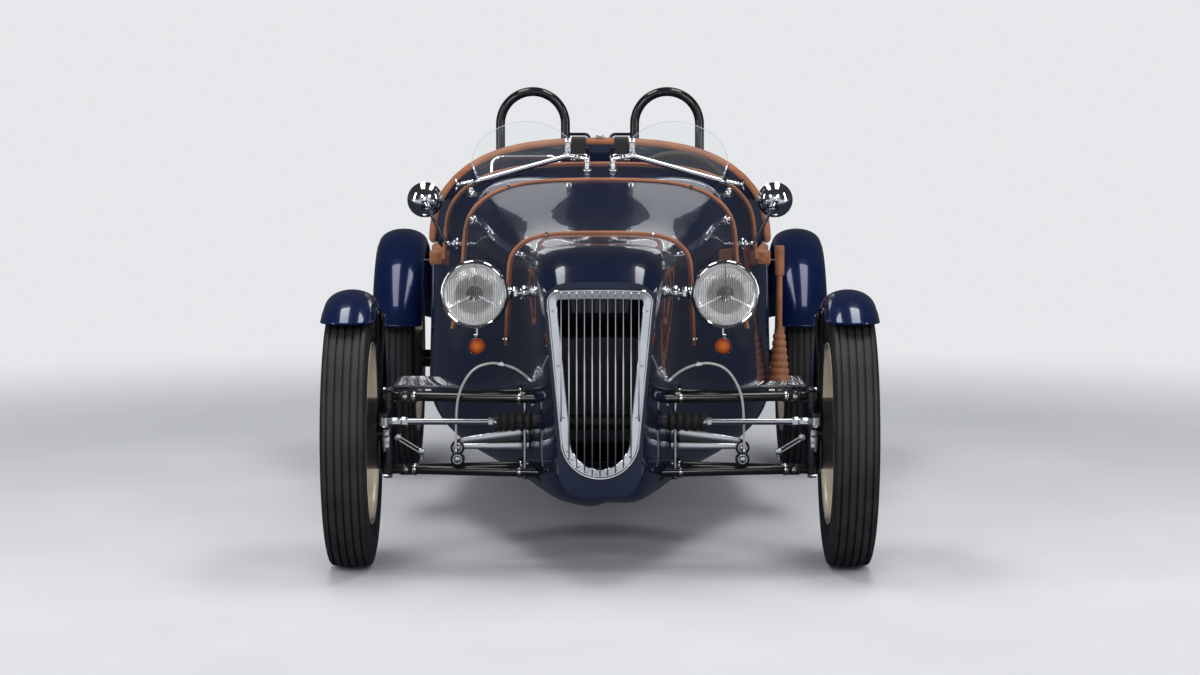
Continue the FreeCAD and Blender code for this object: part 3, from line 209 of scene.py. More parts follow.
def make_grain_group():
    """Height and tone of fine pebbled grain."""
    group, start, end = new_group("Pebble grain", {"Scale": 400.0}, {"Height": "Float", "Tone": "Float"})
    place = object_position(group)
    cells = add(group, "TexVoronoi", place, feature="SMOOTH_F1", Scale=start["Scale"])
    crease = noise(group, 35.0, place, Detail=5.0)
    plug(end["Height"], calc(group, "MULTIPLY_ADD", crease, 0.6, cells.outputs["Distance"]))
    plug(end["Tone"], crease)
    return group


def make_flake_group():
    """Tiny metal flakes in paint: a sparkle mask."""
    group, start, end = new_group("Paint flake", {"Scale": 1500.0}, {"Mask": "Float"})
    cells = add(group, "TexVoronoi", object_position(group), Scale=start["Scale"])
    plug(end["Mask"], remap(group, cells.outputs["Color"], 0.55, 1.0))
    return group


class Finishes:
    """Every material of the car, made once and kept by name, and the groups that they share."""
    made = {}


def new_material(name, **values):
    """Material, its tree and its shader's inputs. What is the same all over it is set there."""
    material = bpy.data.materials.new(name)
    material.use_nodes = True
    tree = material.node_tree
    shader = tree.nodes["Principled BSDF"]
    for key, value in values.items():
        plug(shader.inputs[key.replace("_", " ")], value)
    return material, tree, shader.inputs


def toned(tree, surface, low, high, *values):
    """Uneven tone and roughness of a surface, by its scale and roughness limits. Returns the tone."""
    scale, rough_low, rough_high = values
    tone = add(tree, "Group", node_tree=Finishes.mottle, Colour_A=low, Colour_B=high, Scale=scale,
               Rough_low=rough_low, Rough_high=rough_high).outputs
    plug(surface["Base Color"], tone["Colour"])
    plug(surface["Roughness"], tone["Roughness"])
    return tone["Colour"]


def add_bump(tree, surface, height, strength, distance, invert=False):
    """Bump that feeds the shader's normal."""
    bump = add(tree, "Bump", invert=invert, Height=height, Strength=strength, Distance=distance)
    plug(surface["Normal"], bump.outputs[0])


def rgba(colour, level=1.0):
    """A colour at a level, with full alpha."""
    return (colour[0] * level, colour[1] * level, colour[2] * level, 1.0)


def finish_paint(name, colour, flake_level, metallic):
    """Gloss coat over a colour with faint flakes and polish marks."""
    material, tree, surface = new_material(name, Metallic=metallic, Specular_IOR_Level=0.15,
                                           Coat_Weight=1.0, Coat_Roughness=0.015, Coat_IOR=1.4)
    tone = toned(tree, surface, rgba(colour, 0.82), rgba(colour, 1.2), 3.0, 0.16, 0.26)
    flake = add(tree, "Group", node_tree=Finishes.flake, Scale=1800.0).outputs[0]
    plug(surface["Base Color"], blend(tree, flake, tone, rgba(colour, flake_level)))
    return material


def finish_bright(name, colour, rough_low, rough_high, scale=14.0, stretch=None, metallic=1.0):
    """Polished metal with smudges, or brushed along one way where it is stretched."""
    material, tree, surface = new_material(name, Metallic=metallic)
    if stretch is None:
        toned(tree, surface, rgba(colour, 0.9), rgba(colour, 1.06), scale, rough_low, rough_high)
    else:
        place = add(tree, "Mapping", object_position(tree), Scale=stretch).outputs[0]
        value = noise(tree, scale, place, Detail=4.0)
        plug(surface["Roughness"], remap(tree, value, 0, 1, rough_low, rough_high))
        plug(surface["Base Color"], blend(tree, value, rgba(colour, 0.85), rgba(colour, 1.1)))
        add_bump(tree, surface, value, 0.15, 0.0004)
    return material


def finish_satin(name, colour, rough_low, rough_high, peel=0.12):
    """Satin painted or moulded surface with a light orange peel."""
    material, tree, surface = new_material(name)
    toned(tree, surface, rgba(colour, 0.75), rgba(colour, 1.25), 16.0, rough_low, rough_high)
    add_bump(tree, surface, noise(tree, 420.0, Detail=2.0), peel, 0.0005)
    return material


def finish_leather(name, colour, grain_scale=420.0, depth=0.35):
    """Pebbled leather with tone that deepens in the creases."""
    material, tree, surface = new_material(name, Sheen_Weight=0.08)
    grain = add(tree, "Group", node_tree=Finishes.grain, Scale=grain_scale).outputs
    tone = toned(tree, surface, rgba(colour, 0.62), rgba(colour, 1.25), 7.0, 0.38, 0.6)
    plug(surface["Base Color"], blend(tree, grain["Tone"], tone, (0.72, 0.66, 0.62, 1),
                                      blend_type="MULTIPLY"))
    add_bump(tree, surface, grain["Height"], depth, 0.0012)
    return material


def finish_tyre(name):
    """Dark rubber, dusty in patches, with fine cuts along the ribs' edges read from the UV map; the cuts are
    painted near black as painted shade in them.
    """
    material, tree, surface = new_material(name)
    tone = toned(tree, surface, (0.014, 0.014, 0.015, 1), (0.032, 0.031, 0.031, 1), 11.0, 0.42, 0.7)
    uv = add(tree, "UVMap").outputs["UV"]
    wave = add(tree, "TexWave", uv, wave_type="BANDS", bands_direction="X", Scale=78.0).outputs["Fac"]
    across = add(tree, "SeparateXYZ", uv).outputs["Y"]
    ribs = calc(tree, "PINGPONG", across, sizes().groove_pitch / 2)
    edge = calc(tree, "COMPARE", ribs, sizes().groove_width / 2 + 0.0008, 0.0014)
    shoulder = calc(tree, "COMPARE", calc(tree, "ABSOLUTE", across), SHOULDER_OUT, 0.0042)
    where = calc(tree, "MAXIMUM", edge, shoulder)
    cut = calc(tree, "MULTIPLY", calc(tree, "LESS_THAN", wave, 0.32), where)
    # Painted shade: the rubber in the recessed cuts is painted near black.
    plug(surface["Base Color"], blend(tree, cut, tone, (0.003, 0.003, 0.003, 1)))
    height = calc(tree, "MULTIPLY_ADD", noise(tree, 300.0), 0.25, cut)
    add_bump(tree, surface, height, 0.5, 0.002, invert=True)
    return material


def finish_glass(name, tint, flutes=0.0):
    """Clear glass, with upright flutes where asked."""
    thin, thick = 1.22, 1.45
    material, tree, surface = new_material(name, Base_Color=tint, Transmission_Weight=1.0,
                                           IOR=thin if flutes else thick)
    if flutes:
        wave = add(tree, "TexWave", object_position(tree), wave_type="BANDS", bands_direction="X",
                   Scale=flutes, Distortion=0.0)
        add_bump(tree, surface, wave.outputs["Fac"], 0.3, 0.0008)
        plug(surface["Roughness"], 0.0)
    else:
        plug(surface["Roughness"], remap(tree, noise(tree, 9.0), 0, 1, 0.0, 0.03))
    return material


def finish_lens(name, node, radius, middle, rim):
    """Moulded colour lens for two lamps that mirror each other, with a painted glow in its middle that darkens to
    painted shade towards its rim.
    """
    material, tree, surface = new_material(name, Roughness=0.08, Transmission_Weight=0.25, IOR=1.45)
    low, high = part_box(node)
    lamp = (high.x - radius, 0, (low.z + high.z) / 2)
    place = add(tree, "VectorMath", object_position(tree), operation="ABSOLUTE").outputs[0]
    flat = add(tree, "VectorMath", place, (1, 0, 1), operation="MULTIPLY").outputs[0]
    out = add(tree, "VectorMath", flat, lamp, operation="DISTANCE").outputs["Value"]
    share = remap(tree, out, radius * 0.12, radius * 0.85)
    # Painted glow in the lens's middle, fading to painted shade at its rim.
    plug(surface["Base Color"], blend(tree, share, (*middle, 1), (*rim, 1)))
    return material


def finish_weave(name, colour):
    """Woven belt webbing, with painted highlight on its raised threads and painted shade between them."""
    material, tree, surface = new_material(name, Roughness=0.8, Sheen_Weight=0.3)
    place = object_position(tree)
    weft, warp = (add(tree, "TexWave", place, bands_direction=way, Scale=scale).outputs["Fac"]
                  for way, scale in (("X", 220.0), ("DIAGONAL", 160.0)))
    height = calc(tree, "MULTIPLY", weft, warp)
    # Painted highlight and shade: lighter on the raised threads, darker between them.
    plug(surface["Base Color"], blend(tree, height, rgba(colour, 0.5), rgba(colour, 1.6)))
    add_bump(tree, surface, height, 0.5, 0.0008)
    return material


def finish_wood(name, colour):
    """Varnished wood with long figure."""
    material, tree, surface = new_material(name, Roughness=0.35, Coat_Weight=0.8, Coat_Roughness=0.06)
    place = add(tree, "Mapping", object_position(tree), Scale=(2.0, 8.0, 22.0)).outputs[0]
    value = noise(tree, 3.0, place, Detail=8.0, Distortion=1.2)
    ramp = remap(tree, value, 0.35, 0.65)
    plug(surface["Base Color"], blend(tree, ramp, rgba(colour, 0.45), rgba(colour, 1.3)))
    add_bump(tree, surface, value, 0.08, 0.0006)
    return material


def finish_dial(name):
    """Dial face: pale ticks round a dark disc, from the piece's own UV map."""
    material, tree, surface = new_material(name)
    parts = add(tree, "SeparateXYZ", add(tree, "UVMap").outputs["UV"]).outputs
    ticks = calc(tree, "FRACT", calc(tree, "MULTIPLY", parts["X"], 24.0))
    band = calc(tree, "MULTIPLY", calc(tree, "GREATER_THAN", parts["Y"], 0.74),
                calc(tree, "LESS_THAN", parts["Y"], 0.92))
    mask = calc(tree, "MULTIPLY", band, calc(tree, "LESS_THAN", ticks, 0.16))
    tone = toned(tree, surface, (0.012, 0.012, 0.013, 1), (0.02, 0.02, 0.02, 1), 30.0, 0.4, 0.55)
    plug(surface["Base Color"], blend(tree, mask, tone, (0.7, 0.68, 0.6, 1)))
    return material


class ROADSTER_OT_finishes(bpy.types.Operator):
    """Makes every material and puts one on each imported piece"""
    bl_idname = "roadster.finishes"
    bl_label = "Finishes"

    def execute(self, context):
        Finishes.mottle = make_mottle_group()
        Finishes.grain = make_grain_group()
        Finishes.flake = make_flake_group()
        pick = context.scene.roadster_colours
        Finishes.made = {
            "body_paint": finish_paint("dark blue paint", pick.body, 3.0, 0.2),
            "wing_paint": finish_paint("blue flake paint", pick.wing, 2.5, 0.3),
            "wheel_cream": finish_paint("cream enamel", pick.wheel, 1.0, 0.0),
            "chrome": finish_bright("chrome plate", pick.chrome, 0.03, 0.09),
            "steel": finish_bright("bright steel", (0.7, 0.71, 0.73), 0.12, 0.28, 60.0, (1, 8, 8)),
            "polished_alloy": finish_bright("polished alloy", (0.72, 0.73, 0.75), 0.14, 0.3, 40.0,
                                            (2, 10, 10)),
            "mirror_silver": finish_bright("mirror silver", (0.86, 0.87, 0.88), 0.01, 0.05),
            "lamp_silver": finish_bright("lamp silver", (1.0, 1.0, 0.99), 0.05, 0.14, metallic=0.6),
            "block_grey": finish_satin("cast alloy", (0.3, 0.3, 0.31), 0.45, 0.65, 0.4),
            "frame_black": finish_satin("black enamel", (0.010, 0.010, 0.012), 0.08, 0.18, 0.006),
            "rubber": finish_satin("black rubber", (0.016, 0.016, 0.016), 0.45, 0.65, 0.25),
            "hose": finish_satin("braided hose", pick.hose, 0.3, 0.5, 0.5),
            "dark_cap": finish_satin("dark cap", (0.01, 0.01, 0.01), 0.5, 0.7),
            "leather": finish_leather("tan leather", pick.leather),
            "piping_leather": finish_leather("piping leather", pick.leather, 700.0, 0.2),
            "steering_black": finish_leather("dark leather", (0.03, 0.018, 0.012), 600.0, 0.2),
            "dash_panel": finish_wood("walnut", (0.2, 0.08, 0.035)),
            "belt_web": finish_weave("belt webbing", (0.015, 0.015, 0.016)),
            "glass": finish_glass("clear glass", (0.97, 0.985, 0.98, 1)),
            "fluted_glass": finish_glass("fluted glass", (1, 1, 1, 1), 40.0),
            "clear_bulb": finish_glass("bulb glass", (1, 1, 1, 1)),
            # Painted shade: the flutes' clear glass is tinted grey so that they read as darker lines.
            "flute_glass": finish_glass("flute glass", (0.62, 0.62, 0.63, 1)),
            # Each lens's first colour is its painted glow in the middle, its second the painted shade at its rim.
            "amber": finish_lens("amber lens", "indicators", INDICATOR_RADIUS, (1.0, 0.26, 0.02),
                                 (0.38, 0.022, 0.004)),
            "red_lens": finish_lens("red lens", "tail_lamps", TAIL_LAMP_RADIUS, (0.8, 0.02, 0.015),
                                    (0.3, 0.004, 0.004)),
            "tyre": finish_tyre("tyre rubber"),
            "dial": finish_dial("dial face"),
        }
        slots = {row["node"]: row["material_slot"] for row in frame["record"]["subparts"]}
        for name, node in frame["nodes"].items():
            node.data.materials.clear()
            node.data.materials.append(Finishes.made[slots[name]])
        return {"FINISHED"}


# Mesh tools

def settled(bm, name, material, *how, **more):
    """Object from a bmesh, its doubles merged and its faces turned outwards, as dress makes it."""
    closed_up(bm)
    mesh = bpy.data.meshes.new(name)
    bm.normal_update()
    bm.to_mesh(mesh)
    bm.free()
    return dress(mesh, name, material, *how, **more)


def dress(mesh, name, material, replaced=None, angle=35.0, body="chassis", slot=None):
    """Object from a mesh: shaded smooth up to an angle, finished, and riding on a body."""
    piece = linked(name, mesh)
    for polygon in mesh.polygons:
        polygon.use_smooth = True
    mesh.set_sharp_from_angle(angle=math.radians(angle))
    mesh.materials.clear()
    mesh.materials.append(Finishes.made[material])
    if replaced:
        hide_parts(replaced)
    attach(piece, body)
    return piece


def linked(name, data):
    """New object in the scene."""
    piece = bpy.data.objects.new(name, data)
    bpy.context.scene.collection.objects.link(piece)
    return piece


def closed_up(bm):
    """Merges doubles and turns the faces of closed shapes outwards."""
    bmesh.ops.remove_doubles(bm, verts=bm.verts, dist=1e-6)
    bmesh.ops.recalc_face_normals(bm, faces=bm.faces)


def side_place(place, side):
    """A place given for the left side, on the left (1) or the right (-1)."""
    return Vector((place[0] * side, place[1], place[2]))


def around(degrees, offset=0.0, first=X, second=Z):
    """Direction in a plane, by degrees from its first way and a further turn in radians."""
    turn = math.radians(degrees) + offset
    return first * math.cos(turn) + second * math.sin(turn)


def turned(way):
    """Matrix that turns a shape's own height along a direction."""
    return way.to_track_quat("Z", "Y").to_matrix().to_4x4()


def lathe(bm, profile, centre, axis, steps=48, side=None, sweep=math.tau):
    """Spins a profile of (along, out) pairs in millimetres about an axis."""
    axis = axis.normalized()
    side = (side or axis.orthogonal()).normalized()
    verts = [bm.verts.new(centre + axis * (step / 1000) + side * (out / 1000)) for step, out in profile]
    edges = [bm.edges.new(pair) for pair in zip(verts, verts[1:])]
    full = abs(abs(sweep) - math.tau) < 1e-6
    before = set(bm.faces)
    bmesh.ops.spin(bm, geom=verts + edges, cent=centre, axis=axis, angle=sweep, steps=steps,
                   use_merge=full)
    made = [face for face in bm.faces if face not in before]
    bmesh.ops.remove_doubles(bm, verts=list({vert for face in made for vert in face.verts}), dist=1e-6)
    return [face for face in made if face.is_valid]


def spun(name, profile, centre, axis, material, *how, steps=64, **more):
    """Closed turned piece from one profile in millimetres."""
    bm = bmesh.new()
    lathe(bm, profile, centre, axis, steps)
    return settled(bm, name, material, *how, **more)


def soften(bm, edges, offset, segments=2):
    """Rounds edges off."""
    bmesh.ops.bevel(bm, geom=list(edges), offset=offset, segments=segments, profile=0.5,
                    affect="EDGES", material=-1)


def bar(bm, start, end, radius, end_radius=None, segments=16, bevel=0.0):
    """Round, tapered or hexagonal bar between two places, its end edges softened by a bevel."""
    made = bmesh.ops.create_cone(
        bm, cap_ends=True, segments=segments, radius1=radius,
        radius2=radius if end_radius is None else end_radius, depth=(end - start).length,
        matrix=Matrix.Translation((start + end) / 2) @ turned(end - start))["verts"]
    if bevel:
        soften(bm, {edge for vert in made for edge in vert.link_edges
                    if any(len(face.verts) > 4 for face in edge.link_faces)}, bevel)


def collar(bm, place, way, low, high, *shape, **more):
    """Bar along a direction through a place, from one distance to another."""
    bar(bm, place + way * low, place + way * high, *shape, **more)


def hexagon(bm, place, way, low, high, radius, bevel=0.001):
    """Six-sided nut along a direction through a place."""
    collar(bm, place, way, low, high, radius, segments=6, bevel=bevel)


def bolt(bm, place, way, radius):
    """Hexagon head on a washer."""
    way = Vector(way).normalized()
    collar(bm, place, way, 0, radius * 0.3, radius * 1.45, segments=20, bevel=radius * 0.08)
    hexagon(bm, place, way, radius * 0.25, radius, radius, radius * 0.12)


def block(bm, centre, size, bevel, turn=None, segments=2):
    """Block with rounded edges."""
    matrix = Matrix.Translation(centre) @ (turn or Matrix.Identity(4)) @ Matrix.Diagonal((*size, 1))
    made = bmesh.ops.create_cube(bm, size=1.0, matrix=matrix)["verts"]
    soften(bm, {edge for vert in made for edge in vert.link_edges}, bevel, segments)


def ball(bm, centre, radius, segments=20, rings=12):
    """Ball of a joint."""
    bmesh.ops.create_uvsphere(bm, u_segments=segments, v_segments=rings, radius=radius,
                              matrix=Matrix.Translation(centre))


def ring_frames(points, closed):
    """Turning frames along a path, without twist."""
    last = len(points) - 1
    tangents = []
    for i in range(last + 1):
        ahead = points[(i + 1) % (last + 1)] if closed else points[min(i + 1, last)]
        behind = points[i - 1] if closed else points[max(i - 1, 0)]
        tangents.append((ahead - behind).normalized())
    up = tangents[0].orthogonal().normalized()
    frames = []
    for i, tangent in enumerate(tangents):
        if i:
            up = tangents[i - 1].rotation_difference(tangent) @ up
        up = (up - tangent * up.dot(tangent)).normalized()
        frames.append((up, tangent.cross(up)))
    return frames


def tube(bm, points, radius, sides=12, closed=False):
    """Round tube along a path: rings set at its points and bridged."""
    radii = radius if isinstance(radius, list) else [radius] * len(points)
    rings = []
    for i, (point, size, (up, across)) in enumerate(zip(points, radii, ring_frames(points, closed))):
        basis = Matrix((up, across, up.cross(across))).transposed().to_4x4()
        verts = bmesh.ops.create_circle(bm, segments=sides, radius=size,
                                        cap_ends=not closed and i in (0, len(points) - 1),
                                        matrix=Matrix.Translation(point) @ basis)["verts"]
        rings.append(list({edge for vert in verts for edge in vert.link_edges}))
    for low, high in list(zip(rings, rings[1:])) + ([(rings[-1], rings[0])] if closed else []):
        bmesh.ops.bridge_loops(bm, edges=low + high)


def bent_path(points, bends, steps):
    """Straight runs joined by tangent arcs, as a list of points."""
    path = [points[0]]
    for i, bend in enumerate(bends, 1):
        before = (points[i - 1] - points[i]).normalized()
        after = (points[i + 1] - points[i]).normalized()
        half = before.angle(after) / 2
        back = bend / math.tan(half)
        centre = points[i] + (before + after).normalized() * (bend / math.sin(half))
        entry = (points[i] + before * back - centre).normalized()
        leave = (points[i] + after * back - centre).normalized()
        path += [centre + entry.slerp(leave, k / steps) * bend for k in range(steps + 1)]
    return path + [points[-1]]


class Skin:
    """The body's outer surface, for seating pieces on it."""
    tree = None


def make_skin_tree():
    """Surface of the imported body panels, for rays."""
    verts, faces = [], []
    for name in ("nose_cowl", "bonnet", "scuttle", "rear_body", "body_tub"):
        mesh = frame["nodes"][name].data
        start = len(verts)
        verts += [vert.co.copy() for vert in mesh.vertices]
        faces += [[start + i for i in polygon.vertices] for polygon in mesh.polygons]
    Skin.tree = BVHTree.FromPolygons(verts, faces)


def skin_hit(origin, direction):
    """Place and outward direction where a ray from outside meets the body."""
    place, normal, _, _ = Skin.tree.ray_cast(Vector(origin), Vector(direction))
    if place is None:
        raise RuntimeError(f"no body under the ray from {origin}")
    return place, normal


def skin_below(x, y):
    """Place and outward direction on the body, seen from above."""
    return skin_hit((x, y, ABOVE), -Z)


def skin_beside(y, z, side=1):
    """Place and outward direction on the body, seen from one side."""
    return skin_hit((side * BESIDE, y, z), X * -side)


def section_path(y, foot_z, outset=0.0, count=96):
    """Path over the body along one cross section, between two feet at one height."""
    path = []
    for i in range(count + 1):
        turn = math.radians(-112 + 224 * i / count)
        way = Vector((math.sin(turn), 0, math.cos(turn)))
        place, normal = skin_hit(Vector((0, y, WAIST_Z)) + way * 1.5, -way)
        normal = Vector((normal.x, 0, normal.z)).normalized()
        if place.z > foot_z:
            path.append(place + normal * outset)
    right, left = (skin_beside(y, foot_z, side)[0] + X * side * outset for side in (-1, 1))
    return [right] + path + [left]


def wheel_uv(piece, name, measure):
    """UV map of a round piece, each face's corners measured together."""
    mesh = piece.data
    layer = mesh.uv_layers.new(name=name)
    for polygon in mesh.polygons:
        places = [mesh.vertices[mesh.loops[i].vertex_index].co for i in polygon.loop_indices]
        for index, uv in zip(polygon.loop_indices, measure(places)):
            layer.data[index].uv = uv


class ROADSTER_OT_tyres(bpy.types.Operator):
    """Four tyres with straight ribs round the tread"""
    bl_idname = "roadster.tyres"
    bl_label = "Tyres"

    def execute(self, context):
        for end, hub in ENDS.items():
            for side, name in SIDE_NAMES.items():
                centre = side_place(hub, side)

                def round_wheel(places):
                    """Once round the hub for each unit of u, and metres across for v."""
                    turns = [math.atan2(co.z - centre.z, co.y - centre.y) / math.tau for co in places]
                    return [(turn + (1 if max(turns) - turn > 0.5 else 0), co.x - centre.x)
                            for turn, co in zip(turns, places)]
                tyre = spun(f"ribbed_tyre_{end}_{name}", self.profile(), centre, X * side, "tyre",
                            f"tyre_{end}_{name}", 28, f"road_wheel_{end}_{name}", steps=128)
                wheel_uv(tyre, "round", round_wheel)
        return {"FINISHED"}

    def profile(self):
        """Outline of the tyre from one bead over the tread to the other and back."""
        wall = [(45, 245.2), (51.5, 253.5), (56.5, 268), (58.5, 271.5), (57.7, 275), (60.7, 290),
                (62.2, 308), (62, 326), (60.4, 338.5), (61.2, 340.8), (60.2, 345.5), (58.4, 354),
                (56.2, 360), (53.2, 364)]
        groove = sizes().groove_width / 2
        tread = []
        for i in range(sizes().tread_grooves):
            x = ((sizes().tread_grooves - 1) / 2 - i) * sizes().groove_pitch
            top = TYRE_RADIUS - 0.0055 * (x / (wall[-1][0] / 1000)) ** 2
            low = top - sizes().groove_depth
            tread += [((x + groove * share) * 1000, r * 1000)
                      for share, r in ((1, top), (0.6, low), (-0.6, low), (-1, top))]
        return wall + tread + [(-x, r) for x, r in reversed(wall)] + [wall[0]]


class ROADSTER_OT_wheels(bpy.types.Operator):
    """Four wire wheels: rim, crossed spokes with nipples, hub and bright cap"""
    bl_idname = "roadster.wheels"
    bl_label = "Wire wheels"

    flange_spokes: IntProperty(name="Spokes a flange", description="Spokes on each hub flange",
                               default=18, min=6)

    def execute(self, context):
        for end, hub in ENDS.items():
            for side, name in SIDE_NAMES.items():
                self.make_wheel(f"{end}_{name}", side_place(hub, side), side)
        return {"FINISHED"}

    def make_wheel(self, name, centre, side):
        """One wheel on its body."""
        body = f"road_wheel_{name}"
        rim = [(-52, 244.6), (-53.5, 252), (-56, 253.5), (-58, 251.5), (-57.5, 240), (-55, 236.8),
               (-50, 235.2), (-38.5, 231.2), (-30, 221.5), (-25, 218.2), (-20, 217.7)]
        hub = [(-30, 16), (-30, 48.5), (-28.5, 50), (-24.5, 50), (-23, 48), (-22.5, 36), (-19, 32.5),
               (37, 32), (40.5, 34.5), (41, 38.5), (42.5, 40), (46.5, 40), (48, 38.5), (48, 16),
               (-30, 16)]
        cap = [(48.1, 0), (48.1, 30), (50, 31.5), (54, 31.5), (55.5, 29.5), (60, 27), (64, 23.5),
               (67.5, 17), (69.5, 8.5), (70, 0)]
        bm = bmesh.new()
        lathe(bm, rim + [(-x, r) for x, r in reversed(rim)] + [rim[0]], centre, X * side, 96)
        lathe(bm, hub, centre, X * side, 48)
        self.add_spokes(bm, centre, side)
        settled(bm, f"wire_wheel_{name}", "wheel_cream", f"wheel_{name}", 40, body)
        spun(f"hub_cap_{name}", cap, centre, X * side, "chrome", body=body)
        bm = bmesh.new()
        valve = centre + Y * 0.2075
        collar(bm, valve, Y, 0.0145, -0.010, 0.0042, 0.0036, 10, 0.0006)
        collar(bm, valve, -Y, 0.010, 0.022, 0.0046, 0.0046, 10, 0.0008)
        settled(bm, f"valve_{name}", "rubber", body=body)

    def add_spokes(self, bm, centre, side):
        """Spokes from both flanges, leaning each way in turn, with nipples at the rim."""
        step = 360 / self.flange_spokes
        for x_hub, r_hub, x_rim, offset in ((-0.0265, 0.044, -0.0125, 0.0), (0.0445, 0.034, 0.0125, 0.5)):
            for i in range(self.flange_spokes):
                turn = (i + offset) * step
                lean = turn + step * (0.85 if i % 2 else -0.85)
                start = centre + X * x_hub * side + around(lean, 0, Y, Z) * r_hub
                end = centre + X * x_rim * side + around(turn, 0, Y, Z) * 0.2185
                way = (end - start).normalized()
                bar(bm, start - way * 0.004, end, sizes().spoke_radius, segments=8)
                bar(bm, end - way * 0.016, end, 0.0034, 0.0046, 8)


class ROADSTER_OT_wings(bpy.types.Operator):
    """Crowned cycle wings with rolled edges, on their stays"""
    bl_idname = "roadster.wings"
    bl_label = "Wings"

    crown_drop: length("Crown", "Drop of a wing's sides below its crown", 0.046)

    def execute(self, context):
        rear_hub = REAR_HUB - X * 0.006
        for side, name in SIDE_NAMES.items():
            hub = side_place(FRONT_HUB, side)
            self.make_wing(f"crowned_wing_front_{name}", hub, 0.143, 0.400, 54.0, 173.0,
                           f"front_wing_{name}", f"upright_{name}")
            self.front_stays(side, name, hub)
            self.make_wing(f"crowned_wing_rear_{name}", side_place(rear_hub, side), 0.161, 0.451, 19.0,
                           165.0, "rear_wings", "chassis")
            self.rear_stays(side, name, rear_hub)
        return {"FINISHED"}

    def cross_section(self, width, radius):
        """Crowned section from lip to lip as (across, out) pairs."""
        half = width / 2
        drop = self.crown_drop
        right = [(half * share, radius - drop * (1 - math.sqrt(1 - share * share)))
                 for share in (0, 0.16, 0.32, 0.47, 0.61, 0.73, 0.83, 0.91, 0.965, 0.993, 1.0)]
        right.append((half, radius - drop - 0.005))
        return [(-x, r) for x, r in reversed(right[1:])] + right

    def make_wing(self, name, hub, width, radius, front, rear, replaced, body):
        """Sheet swept about the hub, cut level at its front, made thick, with a bead round its edge."""
        section = self.cross_section(width, radius)
        bm = bmesh.new()
        faces = lathe(bm, [(x * 1000, r * 1000) for x, r in section], hub, X, 56, self.way(front),
                      -math.radians(rear - front))
        if sum(face.normal.dot(face.calc_center_median() - hub) for face in faces) < 0:
            bmesh.ops.reverse_faces(bm, faces=bm.faces)
        level = radius * math.sin(math.radians(front)) + 0.0004
        ahead = [face for face in bm.faces if face.calc_center_median().y < hub.y]
        geom = ahead + list({edge for face in ahead for edge in face.edges})
        geom += list({vert for face in ahead for vert in face.verts})
        bmesh.ops.bisect_plane(bm, geom=geom, plane_co=hub + Z * level, plane_no=Z, clear_inner=True)
        bmesh.ops.solidify(bm, geom=list(bm.faces), thickness=0.0025)
        closed_up(bm)
        start = math.degrees(math.asin(level / section[0][1]))

        def place(x, r, degrees):
            """Place on the wing's edge."""
            return hub + X * x + self.way(degrees) * r
        for x, r in (section[0], section[-1]):
            tube(bm, [place(x, r, start + (rear - start) * k / 48) for k in range(49)], 0.0036, 8)
        tube(bm, [place(x, r, math.degrees(math.asin(level / r))) for x, r in section], 0.0032, 8)
        tube(bm, [place(x, r, rear) for x, r in section], 0.0032, 8)
        settled(bm, name, "wing_paint", replaced, 40, body)

    def way(self, degrees):
        """Direction out from the hub, by degrees above the forward level."""
        return around(degrees, 0, -Y, Z)

    def front_stays(self, side, name, hub):
        """Two stays and their bolted foot on the upright."""
        bm = bmesh.new()
        out = X * side
        foot = side_place((0.6115, AXLE_Y, 0.422), side)
        for degrees in (76.0, 118.0):
            tip = Vector((foot.x, hub.y, hub.z)) + self.way(degrees) * 0.352
            tube(bm, [foot, foot.lerp(tip, 0.5), tip], 0.0058, 12)
            block(bm, tip + out * 0.004, (0.006, 0.024, 0.024), 0.002)
            bolt(bm, tip - out * 0.001, -out, 0.0055)
        collar(bm, foot, out, -0.0002, 0.006, 0.020, segments=24, bevel=0.0015)
        bolt(bm, foot + out * 0.004, out, 0.008)
        settled(bm, f"wing_stays_front_{name}", "frame_black", body=f"upright_{name}")

    def rear_stays(self, side, name, hub):
        """Round stays from the tail's side, with their flanges."""
        bm = bmesh.new()
        for degrees in (62.0, 118.0):
            tip = Vector((side * (hub.x - 0.0790), hub.y, hub.z)) + self.way(degrees) * 0.399
            foot, normal = skin_beside(tip.y, tip.z, side)
            tube(bm, [foot - X * side * 0.008, foot.lerp(tip, 0.5), tip], 0.006, 12)
            collar(bm, foot, normal, -0.003, 0.004, 0.021, 0.019, 24, 0.001)
            block(bm, tip + X * side * 0.001, (0.005, 0.028, 0.026), 0.0015)
        settled(bm, f"wing_stays_rear_{name}", "frame_black")


